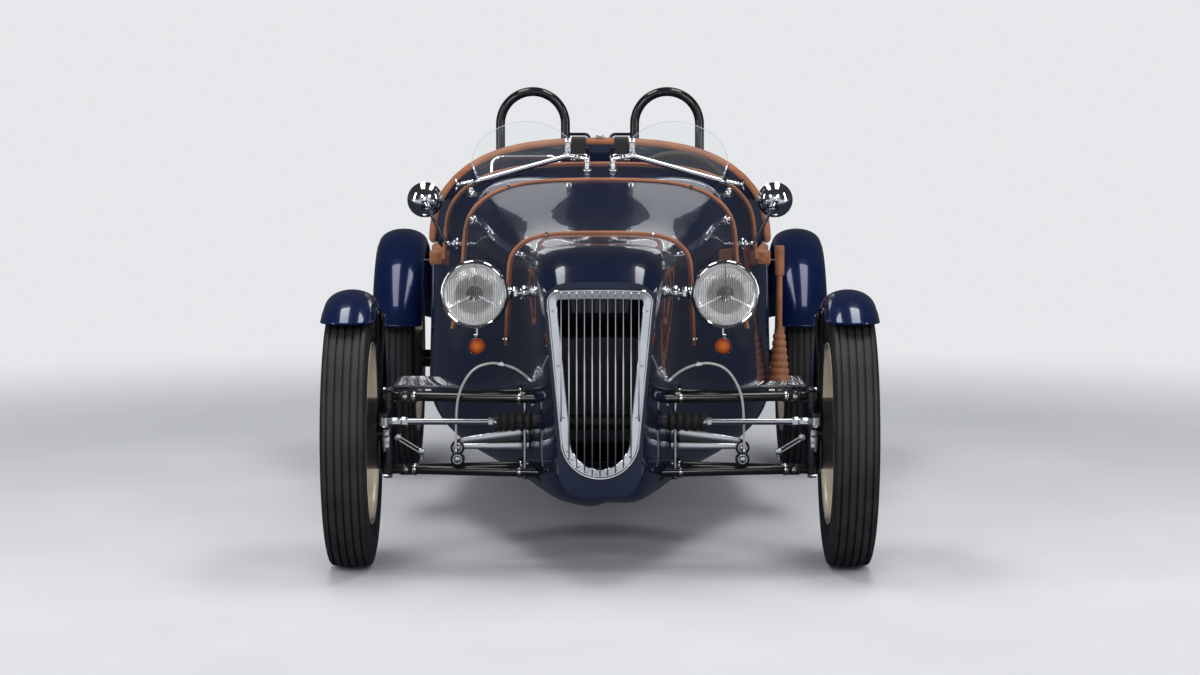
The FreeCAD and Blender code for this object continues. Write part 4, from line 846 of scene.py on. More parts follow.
class ROADSTER_OT_grille(bpy.types.Operator):
    """Rounded keyhole ring with its screws, and the upright bars"""
    bl_idname = "roadster.grille"
    bl_label = "Grille"

    ring_width: length("Ring width", "Width of the bright ring", 0.029)
    bar_pitch: length("Bar pitch", "Distance between two bars", 0.0207)

    def execute(self, context):
        low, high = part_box("grille")
        self.back, self.half, self.base, self.top = high.y, high.x, low.z, high.z
        self.height = self.top - self.base
        self.make_ring()
        self.make_bars()
        self.make_screws()
        return {"FINISHED"}

    def outline(self, inset, count=12):
        """Keyhole outline in the plane of the nose, moved inwards, from the foot's left side round."""
        half, base, height = self.half, self.base, self.height
        foot = (half * 108.0 / 143.0, base + 0.205 * height)
        shoulder = (half, base + 0.918 * height)
        corner = (0.944 * half, base + 0.973 * height)
        crown = (0.734 * half, base + 0.996 * height)
        other_foot, other_shoulder, other_corner, other_crown = (
            (-x, z) for x, z in (foot, shoulder, corner, crown))
        points = arc_points(other_foot, (0, base), foot, count * 2)
        points += arc_points(shoulder, corner, crown, count)
        points += arc_points(crown, (0, self.top), other_crown, count)[1:]
        points += arc_points(other_crown, other_corner, other_shoulder, count)[1:]
        moved = []
        for i, (x, z) in enumerate(points):
            before, after = points[i - 1], points[(i + 1) % len(points)]
            run, rise = after[0] - before[0], after[1] - before[1]
            share = inset / math.hypot(run, rise)
            moved.append((x - rise * share, z + run * share))
        return moved

    def make_ring(self):
        """Ring with a raised outer bead and a flat slope inwards, one outline a step, bridged."""
        width = self.ring_width
        section = ((0.0, 0.0), (0.0, 0.0105), (0.0012, 0.0140), (0.0032, 0.0160), (0.0058, 0.0158),
                   (0.0074, 0.0143), (0.0082, 0.0112), (0.0265, 0.0078), (width - 0.0006, 0.0060),
                   (width, 0.0))
        bm = bmesh.new()
        loops = []
        for inset, rise in section:
            verts = [bm.verts.new((x, self.back - rise, z)) for x, z in self.outline(inset)]
            loops.append([bm.edges.new((verts[k - 1], verts[k])) for k in range(len(verts))])
        for low, high in zip(loops, loops[1:] + loops[:1]):
            bmesh.ops.bridge_loops(bm, edges=low + high)
        settled(bm, "grille_ring", "chrome", "grille", 28)

    def make_bars(self):
        """Thin bars with rounded fronts, their top ends over the ring's inner slope."""
        bm = bmesh.new()
        count = int((self.half - self.ring_width) / self.bar_pitch)
        outer = self.outline(self.ring_width * 0.34)
        for i in range(-count, count + 1):
            x = i * self.bar_pitch
            low, high = self.crossings(outer, 0, x)
            block(bm, Vector((x, self.back - 0.0086, (low + high) / 2)), (0.0040, 0.0128, high - low),
                  0.0014)
        settled(bm, "grille_bars", "chrome", angle=40)

    def crossings(self, outline, axis, level):
        """Lowest and highest places on one axis where an outline passes a level on the other."""
        found = []
        for a, b in zip(outline, outline[1:] + outline[:1]):
            if (a[axis] - level) * (b[axis] - level) <= 0 and a[axis] != b[axis]:
                share = (level - a[axis]) / (b[axis] - a[axis])
                found.append(a[1 - axis] + (b[1 - axis] - a[1 - axis]) * share)
        return min(found), max(found)

    def make_screws(self):
        """Round-headed screws round the ring, close at its foot as in the photograph."""
        bm = bmesh.new()
        ring = self.outline(self.ring_width * 0.56, 16)
        places = [ring[k] for k in range(3, 30, 3)]
        for share in (0.33, 0.60, 0.885):
            z = self.base + share * self.height
            places += [(x, z) for x in self.crossings(ring, 1, z)]
        for x, z in places:
            collar(bm, Vector((x, self.back - 0.0082, z)), -Y, 0, 0.0028, 0.0042, 0.0030, 14, 0.0008)
        settled(bm, "grille_screws", "steel")


def arc_points(start, middle, end, count):
    """Points along the arc through three points of a plane."""
    (ax, ay), (bx, by), (cx, cy) = start, middle, end
    d = 2 * (ax * (by - cy) + bx * (cy - ay) + cx * (ay - by))
    a2, b2, c2 = ax * ax + ay * ay, bx * bx + by * by, cx * cx + cy * cy
    ux = (a2 * (by - cy) + b2 * (cy - ay) + c2 * (ay - by)) / d
    uy = (a2 * (cx - bx) + b2 * (ax - cx) + c2 * (bx - ax)) / d
    radius = math.hypot(ax - ux, ay - uy)
    first, second, last = (math.atan2(y - uy, x - ux) for x, y in (start, middle, end))
    turn = (last - first) % math.tau
    if (second - first) % math.tau > turn:
        turn -= math.tau
    return [(ux + radius * math.cos(first + turn * k / count),
             uy + radius * math.sin(first + turn * k / count)) for k in range(count + 1)]


class ROADSTER_OT_headlights(bpy.types.Operator):
    """Headlights: bowl, rim, reflector, bulb, fluted lens, bracket and stalk"""
    bl_idname = "roadster.headlights"
    bl_label = "Headlights"

    flutes: IntProperty(name="Flutes", description="Flutes each side of a lens's middle", default=12)

    def execute(self, context):
        low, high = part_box("headlight_lenses")
        centre = Vector((high.x - LENS_RADIUS, low.y + 0.0143, (low.z + high.z) / 2))
        for side, name in SIDE_NAMES.items():
            lamp = side_place(centre, side)
            self.make_bowl(name, side, lamp)
            self.make_inside(name, lamp)
            self.make_lens(name, lamp)
        return {"FINISHED"}

    def make_bowl(self, name, side, lamp):
        """Bright bowl with its bracket to the nose and the stalk under it."""
        outer = [(10, 94.5), (30, 93), (48, 89.5), (66, 83.5), (84, 74.5), (102, 63.5), (119, 51),
                 (136, 37.5), (151, 23.5), (161, 12), (166.5, 5), (168, 0)]
        inner = [(164, 0), (158, 10), (146, 24), (130, 38), (112, 52), (90, 66), (66, 79), (40, 87),
                 (10, 90.5)]
        rim = [(14, 90), (14, 94.6), (8, 95), (2, 95), (-3, 93.8), (-6, 91.2), (-6.8, 88.5), (-6, 86.2),
               (-3.5, 85), (6, 85.2), (14, 90)]
        bm = bmesh.new()
        lathe(bm, outer + inner + [outer[0]], lamp, Y, 72)
        lathe(bm, rim, lamp, Y, 72)
        self.add_bracket(bm, side, lamp)
        self.add_stalk(bm, side, lamp)
        settled(bm, f"lamp_bowl_{name}", "chrome", "headlights")

    def add_bracket(self, bm, side, lamp):
        """Knuckle between lamp and nose: flange, neck, ball and lock nuts."""
        y = AXLE_Y + 0.040
        foot, _ = skin_hit((0.28 * side, y, lamp.z), (-side, 0, 0))
        foot.y, foot.z = y, lamp.z
        end = Vector((lamp.x - side * 0.055, y, lamp.z))
        way = (end - foot).normalized()
        collar(bm, foot, way, -0.004, 0.007, 0.0235, 0.021, 28, 0.0015)
        for k in range(3):
            bolt(bm, foot + way * 0.0065 + around(120 * k, 0.5, Y, Z) * 0.0155, way, 0.0036)
        bar(bm, foot, end, 0.0105, segments=24)
        hexagon(bm, foot, way, 0.018, 0.030, 0.0165, 0.0012)
        ball(bm, foot + way * 0.042, 0.0175, 24, 14)
        hexagon(bm, foot, way, 0.053, 0.064, 0.0155, 0.0012)

    def add_stalk(self, bm, side, lamp):
        """Stalk that hangs the indicator from the lamp, with a nut at its foot."""
        low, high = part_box("indicators")
        foot = Vector((side * (high.x - INDICATOR_RADIUS), (low.y + high.y) / 2, high.z + 0.0005))
        bar(bm, foot, Vector((foot.x, foot.y, lamp.z - 0.080)), 0.0055, segments=16)
        hexagon(bm, foot, Z, 0.0005, 0.007, 0.0105, 0.0008)

    def make_inside(self, name, lamp):
        """Polished reflector, its bulb with a dark cap, and the bars that part the beam."""
        dish = [(10, 84.5), (18, 81.5), (30, 73.5), (43, 62), (54, 48), (62, 33), (66.5, 20), (68.5, 11)]
        back = [(step + 1.2, out) for step, out in reversed(dish)]
        spun(f"reflector_{name}", dish + back + [dish[0]], lamp, Y, "lamp_silver", slot="chrome",
             steps=72)
        bulb = [(70, 0), (70, 12), (60, 12.5), (56, 9.5), (50, 10), (42, 12.5), (36, 13), (30, 10.5),
                (26.5, 5.5), (25.5, 0)]
        spun(f"bulb_{name}", bulb, lamp, Y, "clear_bulb", slot="glass", steps=32)
        bm = bmesh.new()
        lathe(bm, [(33, 0), (33, 21), (27, 23), (20, 20), (15.5, 11), (14.5, 0)], lamp, Y, 32)
        bar(bm, lamp + Y * 0.024 + Z * 0.010, lamp + Y * 0.030 + Z * 0.075, 0.0016, segments=8)
        settled(bm, f"bulb_cap_{name}", "dark_cap", slot="frame_black")
        bm = bmesh.new()
        for degrees in (207.0, 333.0):
            tube(bm, [lamp + Y * ahead + around(degrees) * out for ahead, out in
                      ((0.0130, 0.012), (0.009, 0.045), (0.0085, 0.0815))], 0.0028, 8)
        settled(bm, f"beam_bar_{name}", "mirror_silver", slot="chrome")

    def make_lens(self, name, lamp):
        """Domed glass with upright flutes on its inner face and a plain edge."""
        dome = [(-14.3, 0), (-13.8, 15), (-12.4, 30), (-10, 45), (-6.6, 59), (-2.2, 72), (3, 83),
                (5.5, 84.2)]
        inner = [(8.5, 83.5), (6, 80), (0.8, 70), (-3.4, 57.5), (-6.6, 44), (-8.9, 29.5), (-10.2, 15),
                 (-10.7, 0)]
        spun(f"lamp_glass_{name}", dome + inner, lamp, Y, "fluted_glass", "headlight_lenses",
             slot="glass", steps=72)
        bm = bmesh.new()
        reach = 0.0785
        for i in range(-self.flutes, self.flutes + 1):
            x = i * 0.0062
            half = math.sqrt(reach ** 2 - x * x)
            depth = -0.0068 + 0.0112 * (x / reach) ** 2
            levels = [half * (k / 4 - 1) for k in range(9)]
            tube(bm, [lamp + Vector((x, depth + 0.0110 * (z / reach) ** 2, z)) for z in levels],
                 0.0012, 6)
        settled(bm, f"lamp_flutes_{name}", "flute_glass", slot="glass")


class ROADSTER_OT_small_lamps(bpy.types.Operator):
    """Amber indicators under the headlights and red lamps on the tail"""
    bl_idname = "roadster.small_lamps"
    bl_label = "Small lamps"

    def execute(self, context):
        body = [(6, 0), (6, 20.5), (3, 23.2), (3, 24.8), (12, 25), (24, 24.5), (36, 21.5), (43, 15),
                (45, 8), (45, 0)]
        cone = [(5.8, 0), (5.8, 20.4), (3, 20.4), (1.2, 19), (1, 17), (-0.8, 15.8), (-1, 13.8),
                (-2.8, 12.6), (-3, 10.6), (-4.8, 9.4), (-5.2, 7.2), (-7.2, 5), (-8, 0)]
        bezel = [(4, 20.6), (1.5, 21.2), (0.5, 22.8), (1.5, 24.4), (4.5, 25.1), (7, 24.9), (7, 20.6),
                 (4, 20.6)]
        tail_bezel = [(0.2, 0), (0.2, 32), (6, 31.8), (9.5, 30), (10.5, 27.5), (8.5, 26.2), (6, 25.8),
                      (6, 0)]
        dome = [(6.2, 0), (6.2, 25.6), (9.5, 25.2), (11.5, 23.6), (11.8, 22.2), (13.8, 20), (14.1, 18.6),
                (15.8, 16), (16.1, 14.6), (17.4, 11.5), (17.7, 10), (18.4, 6), (18.5, 0)]
        self.make_pair("indicators", INDICATOR_RADIUS, 0.006, (
            ("indicator_body", body, "frame_black", None, 35),
            ("indicator_glass", cone, "amber", "indicators", 25),
            ("indicator_bezel", bezel, "chrome", None, 35)))
        self.make_pair("tail_lamps", TAIL_LAMP_RADIUS, 0.0, (
            ("tail_lamp_bezel", tail_bezel, "chrome", None, 35),
            ("tail_lamp_glass", dome, "red_lens", "tail_lamps", 25)))
        return {"FINISHED"}

    def make_pair(self, node, radius, depth, parts):
        """Turned parts of two round lamps, at a depth behind the front of their node."""
        low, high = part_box(node)
        centre = Vector((high.x - radius, low.y + depth, (low.z + high.z) / 2))
        for side, name in SIDE_NAMES.items():
            for part, profile, material, replaced, angle in parts:
                spun(f"{part}_{name}", profile, side_place(centre, side), Y, material, replaced, angle,
                     steps=48)


class ROADSTER_OT_screens(bpy.types.Operator):
    """Clamps, hinge brackets and wing nuts of the two small screens"""
    bl_idname = "roadster.screens"
    bl_label = "Screens"

    def execute(self, context):
        low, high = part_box("screen_frames")
        y = (low.y + high.y) / 2
        ends = [Vector((x, y, skin_below(x, y)[0].z + rise)) for x, rise in ((0.372, 0.0218),
                                                                             (0.098, 0.0424))]
        bm = bmesh.new()
        for side in SIDES:
            outer, inner = (side_place(end, side) for end in ends)
            tube(bm, [outer, outer.lerp(inner, 0.5), inner], 0.0078, 16)
            for end, lean, rise, way, shift in ((outer, 0.017, 0.050, side, 0.022),
                                                (inner, 0.0, 0.052, -side, -0.058)):
                ball(bm, end, 0.0105)
                self.add_bracket(bm, end, side, lean, rise)
                self.add_hinge(bm, end, way)
                self.add_foot(bm, end + X * side * shift)
        settled(bm, "screen_mounts", "chrome", "screen_frames")
        self.make_edges()
        return {"FINISHED"}

    def make_edges(self):
        """Polished edges of both glasses: the narrow faces of their sheets, a little proud."""
        bm = bmesh.new()
        bm.from_mesh(frame["nodes"]["screen_glass"].data)
        bmesh.ops.remove_doubles(bm, verts=bm.verts, dist=0.00002)
        bm.normal_update()
        wide = [face for face in bm.faces if abs(face.normal.y) > 0.6]
        bmesh.ops.delete(bm, geom=wide, context="FACES")
        thicken(bm, 0.0015)
        settled(bm, "screen_edges", "mirror_silver", angle=50, slot="chrome")

    def add_bracket(self, bm, end, side, lean, rise):
        """Flat upright that grips the glass's end, with two screws."""
        top = end + Vector((side * lean, 0, rise))
        for shift in (-1, 1):
            centre = end.lerp(top, 0.55) + Y * shift * 0.0056
            block(bm, centre, (0.017, 0.0040, rise * 1.02), 0.0016, turned((top - end).normalized()))
        for share in (0.5, 0.85):
            collar(bm, end.lerp(top, share), -Y, 0.0074, 0.0100, 0.0048, 0.0036, 14, 0.0008)

    def add_hinge(self, bm, end, side):
        """Clamp that swings the screen: a barrel with rings and a wing nut."""
        way = Vector((side, 0, -0.18)).normalized()
        collar(bm, end, way, 0.006, 0.058, 0.0062, bevel=0.001)
        for k in range(4):
            start = 0.014 + k * 0.011
            collar(bm, end, way, start, start + 0.006, 0.0092 - 0.0006 * k, bevel=0.001)
        nut = end + way * 0.062
        ball(bm, nut, 0.0065, 16, 10)
        for lift in (-1, 1):
            tip = nut + Vector((side * 0.006, 0, lift * 0.017))
            tube(bm, [nut, nut.lerp(tip, 0.6), tip], [0.0042, 0.0038, 0.0018], 8)

    def add_foot(self, bm, place):
        """Stem from the hinge down to a flange on the scuttle, with its collars."""
        foot, normal = skin_below(place.x, place.y)
        top = Vector((place.x, place.y, foot.z + (0.034 if abs(place.x) < 0.2 else 0.018)))
        collar(bm, foot, normal, -0.004, 0.0035, 0.0165, 0.0150, 24, 0.0012)
        bar(bm, foot, top, 0.0060, segments=16)
        for share in (0.35, 0.75):
            collar(bm, foot.lerp(top, share), Z, -0.0028, 0.0028, 0.0102, segments=18, bevel=0.001)


def thicken(bm, thickness):
    """A second layer of the faces, moved out along their corners' normals and joined by walls."""
    bm.normal_update()
    made = bmesh.ops.extrude_face_region(bm, geom=list(bm.faces), use_keep_orig=True)["geom"]
    for vert in [item for item in made if isinstance(item, bmesh.types.BMVert)]:
        vert.co += vert.normal * thickness


class ROADSTER_OT_mirrors(bpy.types.Operator):
    """Round mirrors: bright bowl, glass to the rear, ball joint and bent arm"""
    bl_idname = "roadster.mirrors"
    bl_label = "Mirrors"

    def execute(self, context):
        _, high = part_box("mirrors")
        for side, name in SIDE_NAMES.items():
            self.make_mirror(name, side, side_place(high - (X + Z) * MIRROR_RADIUS, side))
        return {"FINISHED"}

    def make_mirror(self, name, side, centre):
        """Bowl and arm in one bright piece, and the glass."""
        bowl = [(0, 48), (-1, 52.5), (-4, 54), (-8.5, 54), (-10.5, 52.5), (-12.5, 51.2), (-19, 48),
                (-25.5, 42.5), (-31, 35), (-35.5, 25.5), (-38.5, 15), (-39.8, 6.5), (-40, 0)]
        inner = [(-36.5, 0), (-33, 20), (-22, 40), (-6, 47.8), (0, 48)]
        glass = [(-2, 0), (-2, 47.8), (-5, 47.8), (-5, 0)]
        bm = bmesh.new()
        lathe(bm, bowl + inner, centre, Y, 56)
        joint, knee, elbow = (centre + Vector((side * x, y, z)) for x, y, z in (
            (0, -0.040, 0), (-0.012, -0.046, -0.026), (-0.064, -0.020, -0.132)))
        foot, normal = skin_beside(elbow.y, elbow.z, side)
        ball(bm, joint, 0.0105)
        path = bent_path([joint, knee, elbow, foot - X * side * 0.006], (0.012, 0.020), 8)
        tube(bm, path, 0.0056, 14)
        hexagon(bm, knee, Z, -0.006, 0.010, 0.0092)
        collar(bm, foot, normal, -0.003, 0.0045, 0.0190, 0.0175, 28, 0.0012)
        hexagon(bm, foot, X * side, 0.006, 0.014, 0.0098)
        settled(bm, f"mirror_bowl_{name}", "chrome", "mirrors")
        spun(f"mirror_glass_{name}", glass, centre, Y, "mirror_silver", slot="chrome")


def baked(piece, name):
    """Mesh of a piece with its modifiers applied; the piece is taken away."""
    graph = bpy.context.evaluated_depsgraph_get()
    mesh = bpy.data.meshes.new_from_object(piece.evaluated_get(graph), depsgraph=graph)
    mesh.name = name
    bpy.data.objects.remove(piece)
    return mesh


def voxel_copy(bm, name, size):
    """Mesh from a bmesh, remeshed to even cells."""
    mesh = bpy.data.meshes.new(name)
    bm.to_mesh(mesh)
    bm.free()
    piece = linked(name, mesh)
    remesh = piece.modifiers.new("remesh", "REMESH")
    remesh.mode = "VOXEL"
    remesh.voxel_size = size
    return baked(piece, name)


def inflate(mesh, pressure, cap, pinned):
    """Cloth simulation of a padded form under pressure, each point's move capped."""
    piece = linked("padding", mesh)
    group = piece.vertex_groups.new(name="held")
    group.add([vert.index for vert in mesh.vertices if pinned(vert.co)], 1.0, "REPLACE")
    settings = piece.modifiers.new("cloth", "CLOTH").settings
    settings.quality = 4
    settings.use_pressure = True
    settings.uniform_pressure_force = pressure
    settings.tension_stiffness = settings.compression_stiffness = 12
    settings.shear_stiffness = 6
    settings.bending_stiffness = 0.6
    settings.effector_weights.gravity = 0.0
    settings.vertex_group_mass = "held"
    rest = [vert.co.copy() for vert in mesh.vertices]
    scene = bpy.context.scene
    for number in range(1, 21):
        scene.frame_set(number)
        bpy.context.evaluated_depsgraph_get().update()
    blown = baked(piece, mesh.name)
    scene.frame_set(1)
    for vert, start in zip(blown.vertices, rest):
        move = vert.co - start
        if move.length > cap:
            vert.co = start + move.normalized() * cap
    return blown


def subdivided(piece):
    """One subdivision on a padded piece."""
    smooth = piece.modifiers.new("smooth", "SUBSURF")
    smooth.levels = smooth.render_levels = 1
    return piece


def ramped(*shares):
    """Least of some shares, kept from 0 to 1."""
    return max(0.0, min(1.0, *shares))


class ROADSTER_OT_seats(bpy.types.Operator):
    """Two padded seats with sewn channels and piped edges"""
    bl_idname = "roadster.seats"
    bl_label = "Seats"

    channels: IntProperty(name="Channels", description="Sewn channels across each cushion",
                          default=7, min=3)
    channel_depth: length("Channel depth", "Depth of the sewn channels", 0.011)

    def execute(self, context):
        low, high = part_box("seats")
        cushion = self.pad("cushion", (0.036, low.y + 0.006, low.z + 0.004),
                           (0.436, high.y - 0.112, low.z + 0.129), 0.0, 2)
        back = self.pad("back", (0.040, high.y - 0.088, low.z + 0.131),
                        (0.430, high.y - 0.014, high.z - 0.006), 0.045, 1)
        for part, mesh, replaced in (("cushion", cushion, "seats"), ("back", back, None)):
            for side, name in SIDE_NAMES.items():
                placed = mesh.copy()
                if side < 0:
                    placed.transform(Matrix.Diagonal((-1, 1, 1, 1)))
                    placed.flip_normals()
                piece = dress(placed, f"seat_{part}_{name}", "leather", replaced, 60)
                subdivided(piece)
        self.make_piping(low, high)
        return {"FINISHED"}

    def pad(self, name, low, high, lean, face_axis):
        """Crowned pad between two corners, its channels pressed into one face."""
        low, high = Vector(low), Vector(high)
        size = high - low
        bm = bmesh.new()
        block(bm, (low + high) / 2, size * 0.955, min(size) * 0.34, segments=4)
        for vert in bm.verts:
            vert.co.y += lean * (vert.co.z - low.z) / size.z
        closed_up(bm)
        mesh = voxel_copy(bm, f"seat_{name}", 0.0065)
        def held(co):
            """Where the pad rests on its frame."""
            if face_axis == 2:
                return co.z < low.z + 0.02
            return co.y > high.y - 0.012 + lean * (co.z - low.z) / size.z
        mesh = inflate(mesh, 4.0, 0.016, held)
        self.press_channels(mesh, low, high, lean, face_axis)
        return mesh

    def press_channels(self, mesh, low, high, lean, face_axis):
        """Rounded channels that run fore and aft on the cushion and upright on the back."""
        size = high - low
        pitch = (size.x - 0.06) / self.channels
        for vert in mesh.vertices:
            co = vert.co
            u = (co.x - low.x - 0.03) / pitch
            near = abs(u - round(u)) * pitch
            ridge = max(0.0, 1.0 - near / 0.009) ** 1.5 if 0.0 < u < self.channels else 0.0
            across = ramped((co.x - low.x) / 0.04, (high.x - co.x) / 0.04)
            press = self.channel_depth * ridge * across
            if face_axis == 2:
                share = (co.y - low.y) / size.y
                upper = ramped((co.z - low.z) / size.z * 2.2 - 1.0)
                along = ramped(share / 0.16, (1 - share) / 0.10)
                co.z = min(co.z - press * upper * along, high.z + 0.004)
            else:
                share = (co.z - low.z) / size.z
                front = ramped(1.0 - (co.y - low.y - lean * share) / (size.y * 0.5))
                co.y += press * front * ramped(share / 0.10, (1 - share) / 0.14)
            co.x = min(max(co.x, low.x - 0.004), high.x + 0.006)
            co.y = min(max(co.y, low.y - 0.004), high.y + 0.010)
            co.z = max(co.z, low.z)

    def make_piping(self, low, high):
        """Round piping along the cushions' front edges and round the tops of the backs."""
        bm = bmesh.new()
        foot, top = low.z + 0.131, high.z - 0.006
        for side in SIDES:
            front = [(0.044, 0.11, 0.128), (0.044, 0.018, 0.124), (0.075, 0.004, 0.120),
                     (0.236, 0.001, 0.120), (0.398, 0.004, 0.120), (0.428, 0.018, 0.124),
                     (0.428, 0.11, 0.128)]
            rear = [(0.046, 0.30), (0.045, 0.12), (0.052, 0.05), (0.080, 0.012), (0.235, 0.006),
                    (0.390, 0.012), (0.418, 0.05), (0.425, 0.12), (0.424, 0.30)]
            paths = [[Vector((x * side, low.y + y, low.z + z - 0.002)) for x, y, z in front], []]
            for x, drop in rear:
                z = high.z - 0.010 - drop
                y = high.y - 0.086 + 0.045 * (z - foot) / (top - foot)
                paths[1].append(Vector((x * side, y, z)))
            for path in paths:
                tube(bm, smoothed(path), 0.0048, 10)
        settled(bm, "seat_piping", "leather", angle=60)


def smoothed(points, steps=6):
    """Smooth path through points: the points of their own spline."""
    curve = bpy.data.curves.new("path", "CURVE")
    curve.dimensions = "3D"
    spline = curve.splines.new("NURBS")
    spline.points.add(len(points) - 1)
    for spot, point in zip(spline.points, points):
        spot.co = (*point, 1)
    spline.order_u = 3
    spline.use_endpoint_u = True
    curve.resolution_u = steps
    holder = bpy.data.objects.new("path", curve)
    mesh = bpy.data.meshes.new_from_object(holder)
    path = [mesh.vertices[0].co.copy()]
    for vert in mesh.vertices:
        if (vert.co - path[-1]).length > 0.0005:
            path.append(vert.co.copy())
    bpy.data.objects.remove(holder)
    bpy.data.meshes.remove(mesh)
    return path


class ROADSTER_OT_leather(bpy.types.Operator):
    """Piping on the body's seams, and the padded rolls round the cockpit"""
    bl_idname = "roadster.leather"
    bl_label = "Leather trim"

    tuck_pitch: length("Tuck pitch", "Distance between two sewn tucks of the rear roll", 0.052)

    def execute(self, context):
        radius = sizes().piping_radius
        for name, y, foot_z, clip in (("nose", NOSE_SEAM_Y - radius, WAIST_Z, 0.365),
                                      ("bonnet", BONNET_SEAM_Y + radius, WAIST_Z, 0.315),
                                      ("scuttle", SCUTTLE_SEAM_Y - radius, SILL_Z + radius, None)):
            path = section_path(y, foot_z)
            bm = bmesh.new()
            tube(bm, path, radius, 14)
            settled(bm, f"piping_{name}", "piping_leather", "leather_beads", 60, slot="leather")
            if clip:
                self.make_clips(name, path, radius, clip)
        path = section_path(COCKPIT_END_Y + ROLL_RADIUS, SILL_Z + 0.026, ROLL_RADIUS * 0.5, 140)
        self.make_roll("roll_rear", path, self.tuck_pitch)
        for side, name in SIDE_NAMES.items():
            self.make_side_roll(name, side)
        return {"FINISHED"}

    def make_clips(self, name, path, radius, place):
        """Small bright saddles over the piping, with a screw each."""
        bm = bmesh.new()
        total = len(path) - 1
        for share in (0.03, place, 1 - place, 0.97):
            i = min(total - 1, max(1, round(share * total)))
            point, way = path[i], (path[i + 1] - path[i - 1]).normalized()
            out = Vector((point.x, 0, point.z - WAIST_Z * 0.9)).normalized()
            out = (out - way * out.dot(way)).normalized()
            arc = [point + around(22.5 * k, 0, Y, out) * (radius + 0.0014) for k in range(9)]
            for shift in (-0.0022, 0.0, 0.0022):
                tube(bm, [spot + way * shift for spot in arc], 0.0013, 6)
            bolt(bm, point + out * (radius + 0.0012), out, 0.0028)
        settled(bm, f"piping_clips_{name}", "chrome")

    def make_side_roll(self, name, side):
        """Padded roll on the top of one cockpit side, with rounded ends."""
        ends = []
        for y in (SCUTTLE_SEAM_Y + 0.060, COCKPIT_END_Y - 0.060):
            x = skin_beside(y, SILL_Z - 0.003, side)[0].x
            ends.append(Vector((x - side * ROLL_RADIUS * 0.5, y, SILL_Z + ROLL_RADIUS)))
        self.make_roll(f"roll_{name}", [ends[0].lerp(ends[1], k / 40) for k in range(41)], 0.047)
        place = ends[0] + Vector((side * 0.012, -0.016, -0.006))
        bm = bmesh.new()
        block(bm, place, (0.048, 0.042, 0.044), 0.007, segments=3)
        for lift in (-0.010, 0.010):
            bolt(bm, place + Vector((0, -0.021, lift)), -Y, 0.0034)
        settled(bm, f"roll_end_{name}", "piping_leather", angle=50, slot="leather")

    def make_roll(self, name, path, pitch):
        """Padded roll along a path: it swells between tucks and closes round at its ends."""
        lengths = [0.0]
        for a, b in zip(path, path[1:]):
            lengths.append(lengths[-1] + (b - a).length)
        total = lengths[-1]
        count = max(2, round(total / pitch))
        radii = []
        for reach in lengths:
            phase = reach / total * count
            near = abs(phase - round(phase)) * total / count
            tuck = 0.0016 * max(0.0, 1 - near / 0.010) ** 2 if 0.5 < phase < count - 0.5 else 0.0
            to_end = min(reach, total - reach)
            cap = math.sqrt(max(0.04, 1 - max(0.0, 1 - to_end / (ROLL_RADIUS * 0.7)) ** 2))
            radii.append((ROLL_RADIUS - 0.0006 - tuck) * cap)
        bm = bmesh.new()
        tube(bm, path, radii, 20)
        subdivided(settled(bm, name, "leather", "cockpit_padding", 70))


class ROADSTER_OT_belts(bpy.types.Operator):
    """Shoulder belts with their slides"""
    bl_idname = "roadster.belts"
    bl_label = "Seat belts"

    def execute(self, context):
        low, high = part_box("seat_belts")
        for side, name in SIDE_NAMES.items():
            self.make_belt(name, side * (0.046 + 0.091) / 2, low, high)
        return {"FINISHED"}

    def make_belt(self, name, x, low, high):
        """Webbing from the guide over the rear roll and down in front of the seat's back."""
        top = high.z - 0.0016
        deck = skin_below(x, high.y - 0.002)[0].z
        front = low.y + 0.0018
        route = ((high.y, deck + 0.0022), (high.y - 0.06, deck + 0.006),
                 (COCKPIT_END_Y + ROLL_RADIUS * 2.4, top - 0.004), (COCKPIT_END_Y + ROLL_RADIUS, top),
                 (COCKPIT_END_Y + 0.002, top - 0.004), (low.y + 0.0022, top - ROLL_RADIUS),
                 (front, top - 0.09), (front, (top + low.z) / 2), (front, low.z + 0.001))
        bm = bmesh.new()
        strip(bm, smoothed([Vector((0, y, z)) for y, z in route], 8), X * x,
              (-0.0224, -0.0208, -0.0075, 0.0075, 0.0208, 0.0224), 0.0016)
        settled(bm, f"belt_{name}", "belt_web", "seat_belts", 40)
        bm = bmesh.new()
        place = Vector((x, low.y - 0.0005, top - 0.075))
        for lift in (-0.017, 0.0, 0.017):
            block(bm, place + Z * lift, (0.052, 0.0044, 0.0050), 0.0012)
        for across in (-0.0245, 0.0245):
            block(bm, place + X * across, (0.0050, 0.0044, 0.039), 0.0012)
        settled(bm, f"belt_slide_{name}", "chrome")


def strip(bm, path, place, widths, thickness):
    """Flat webbing along a path in one upright plane, from its widths across, made thick."""
    first = [bm.verts.new(place + path[0] + X * across) for across in widths]
    edges = [bm.edges.new(pair) for pair in zip(first, first[1:])]
    for start, end in zip(path, path[1:]):
        made = bmesh.ops.extrude_edge_only(bm, edges=edges)["geom"]
        verts = [item for item in made if isinstance(item, bmesh.types.BMVert)]
        edges = [item for item in made if isinstance(item, bmesh.types.BMEdge)
                 and all(vert in verts for vert in item.verts)]
        bmesh.ops.translate(bm, verts=verts, vec=end - start)
    bmesh.ops.recalc_face_normals(bm, faces=bm.faces)
    thicken(bm, thickness)


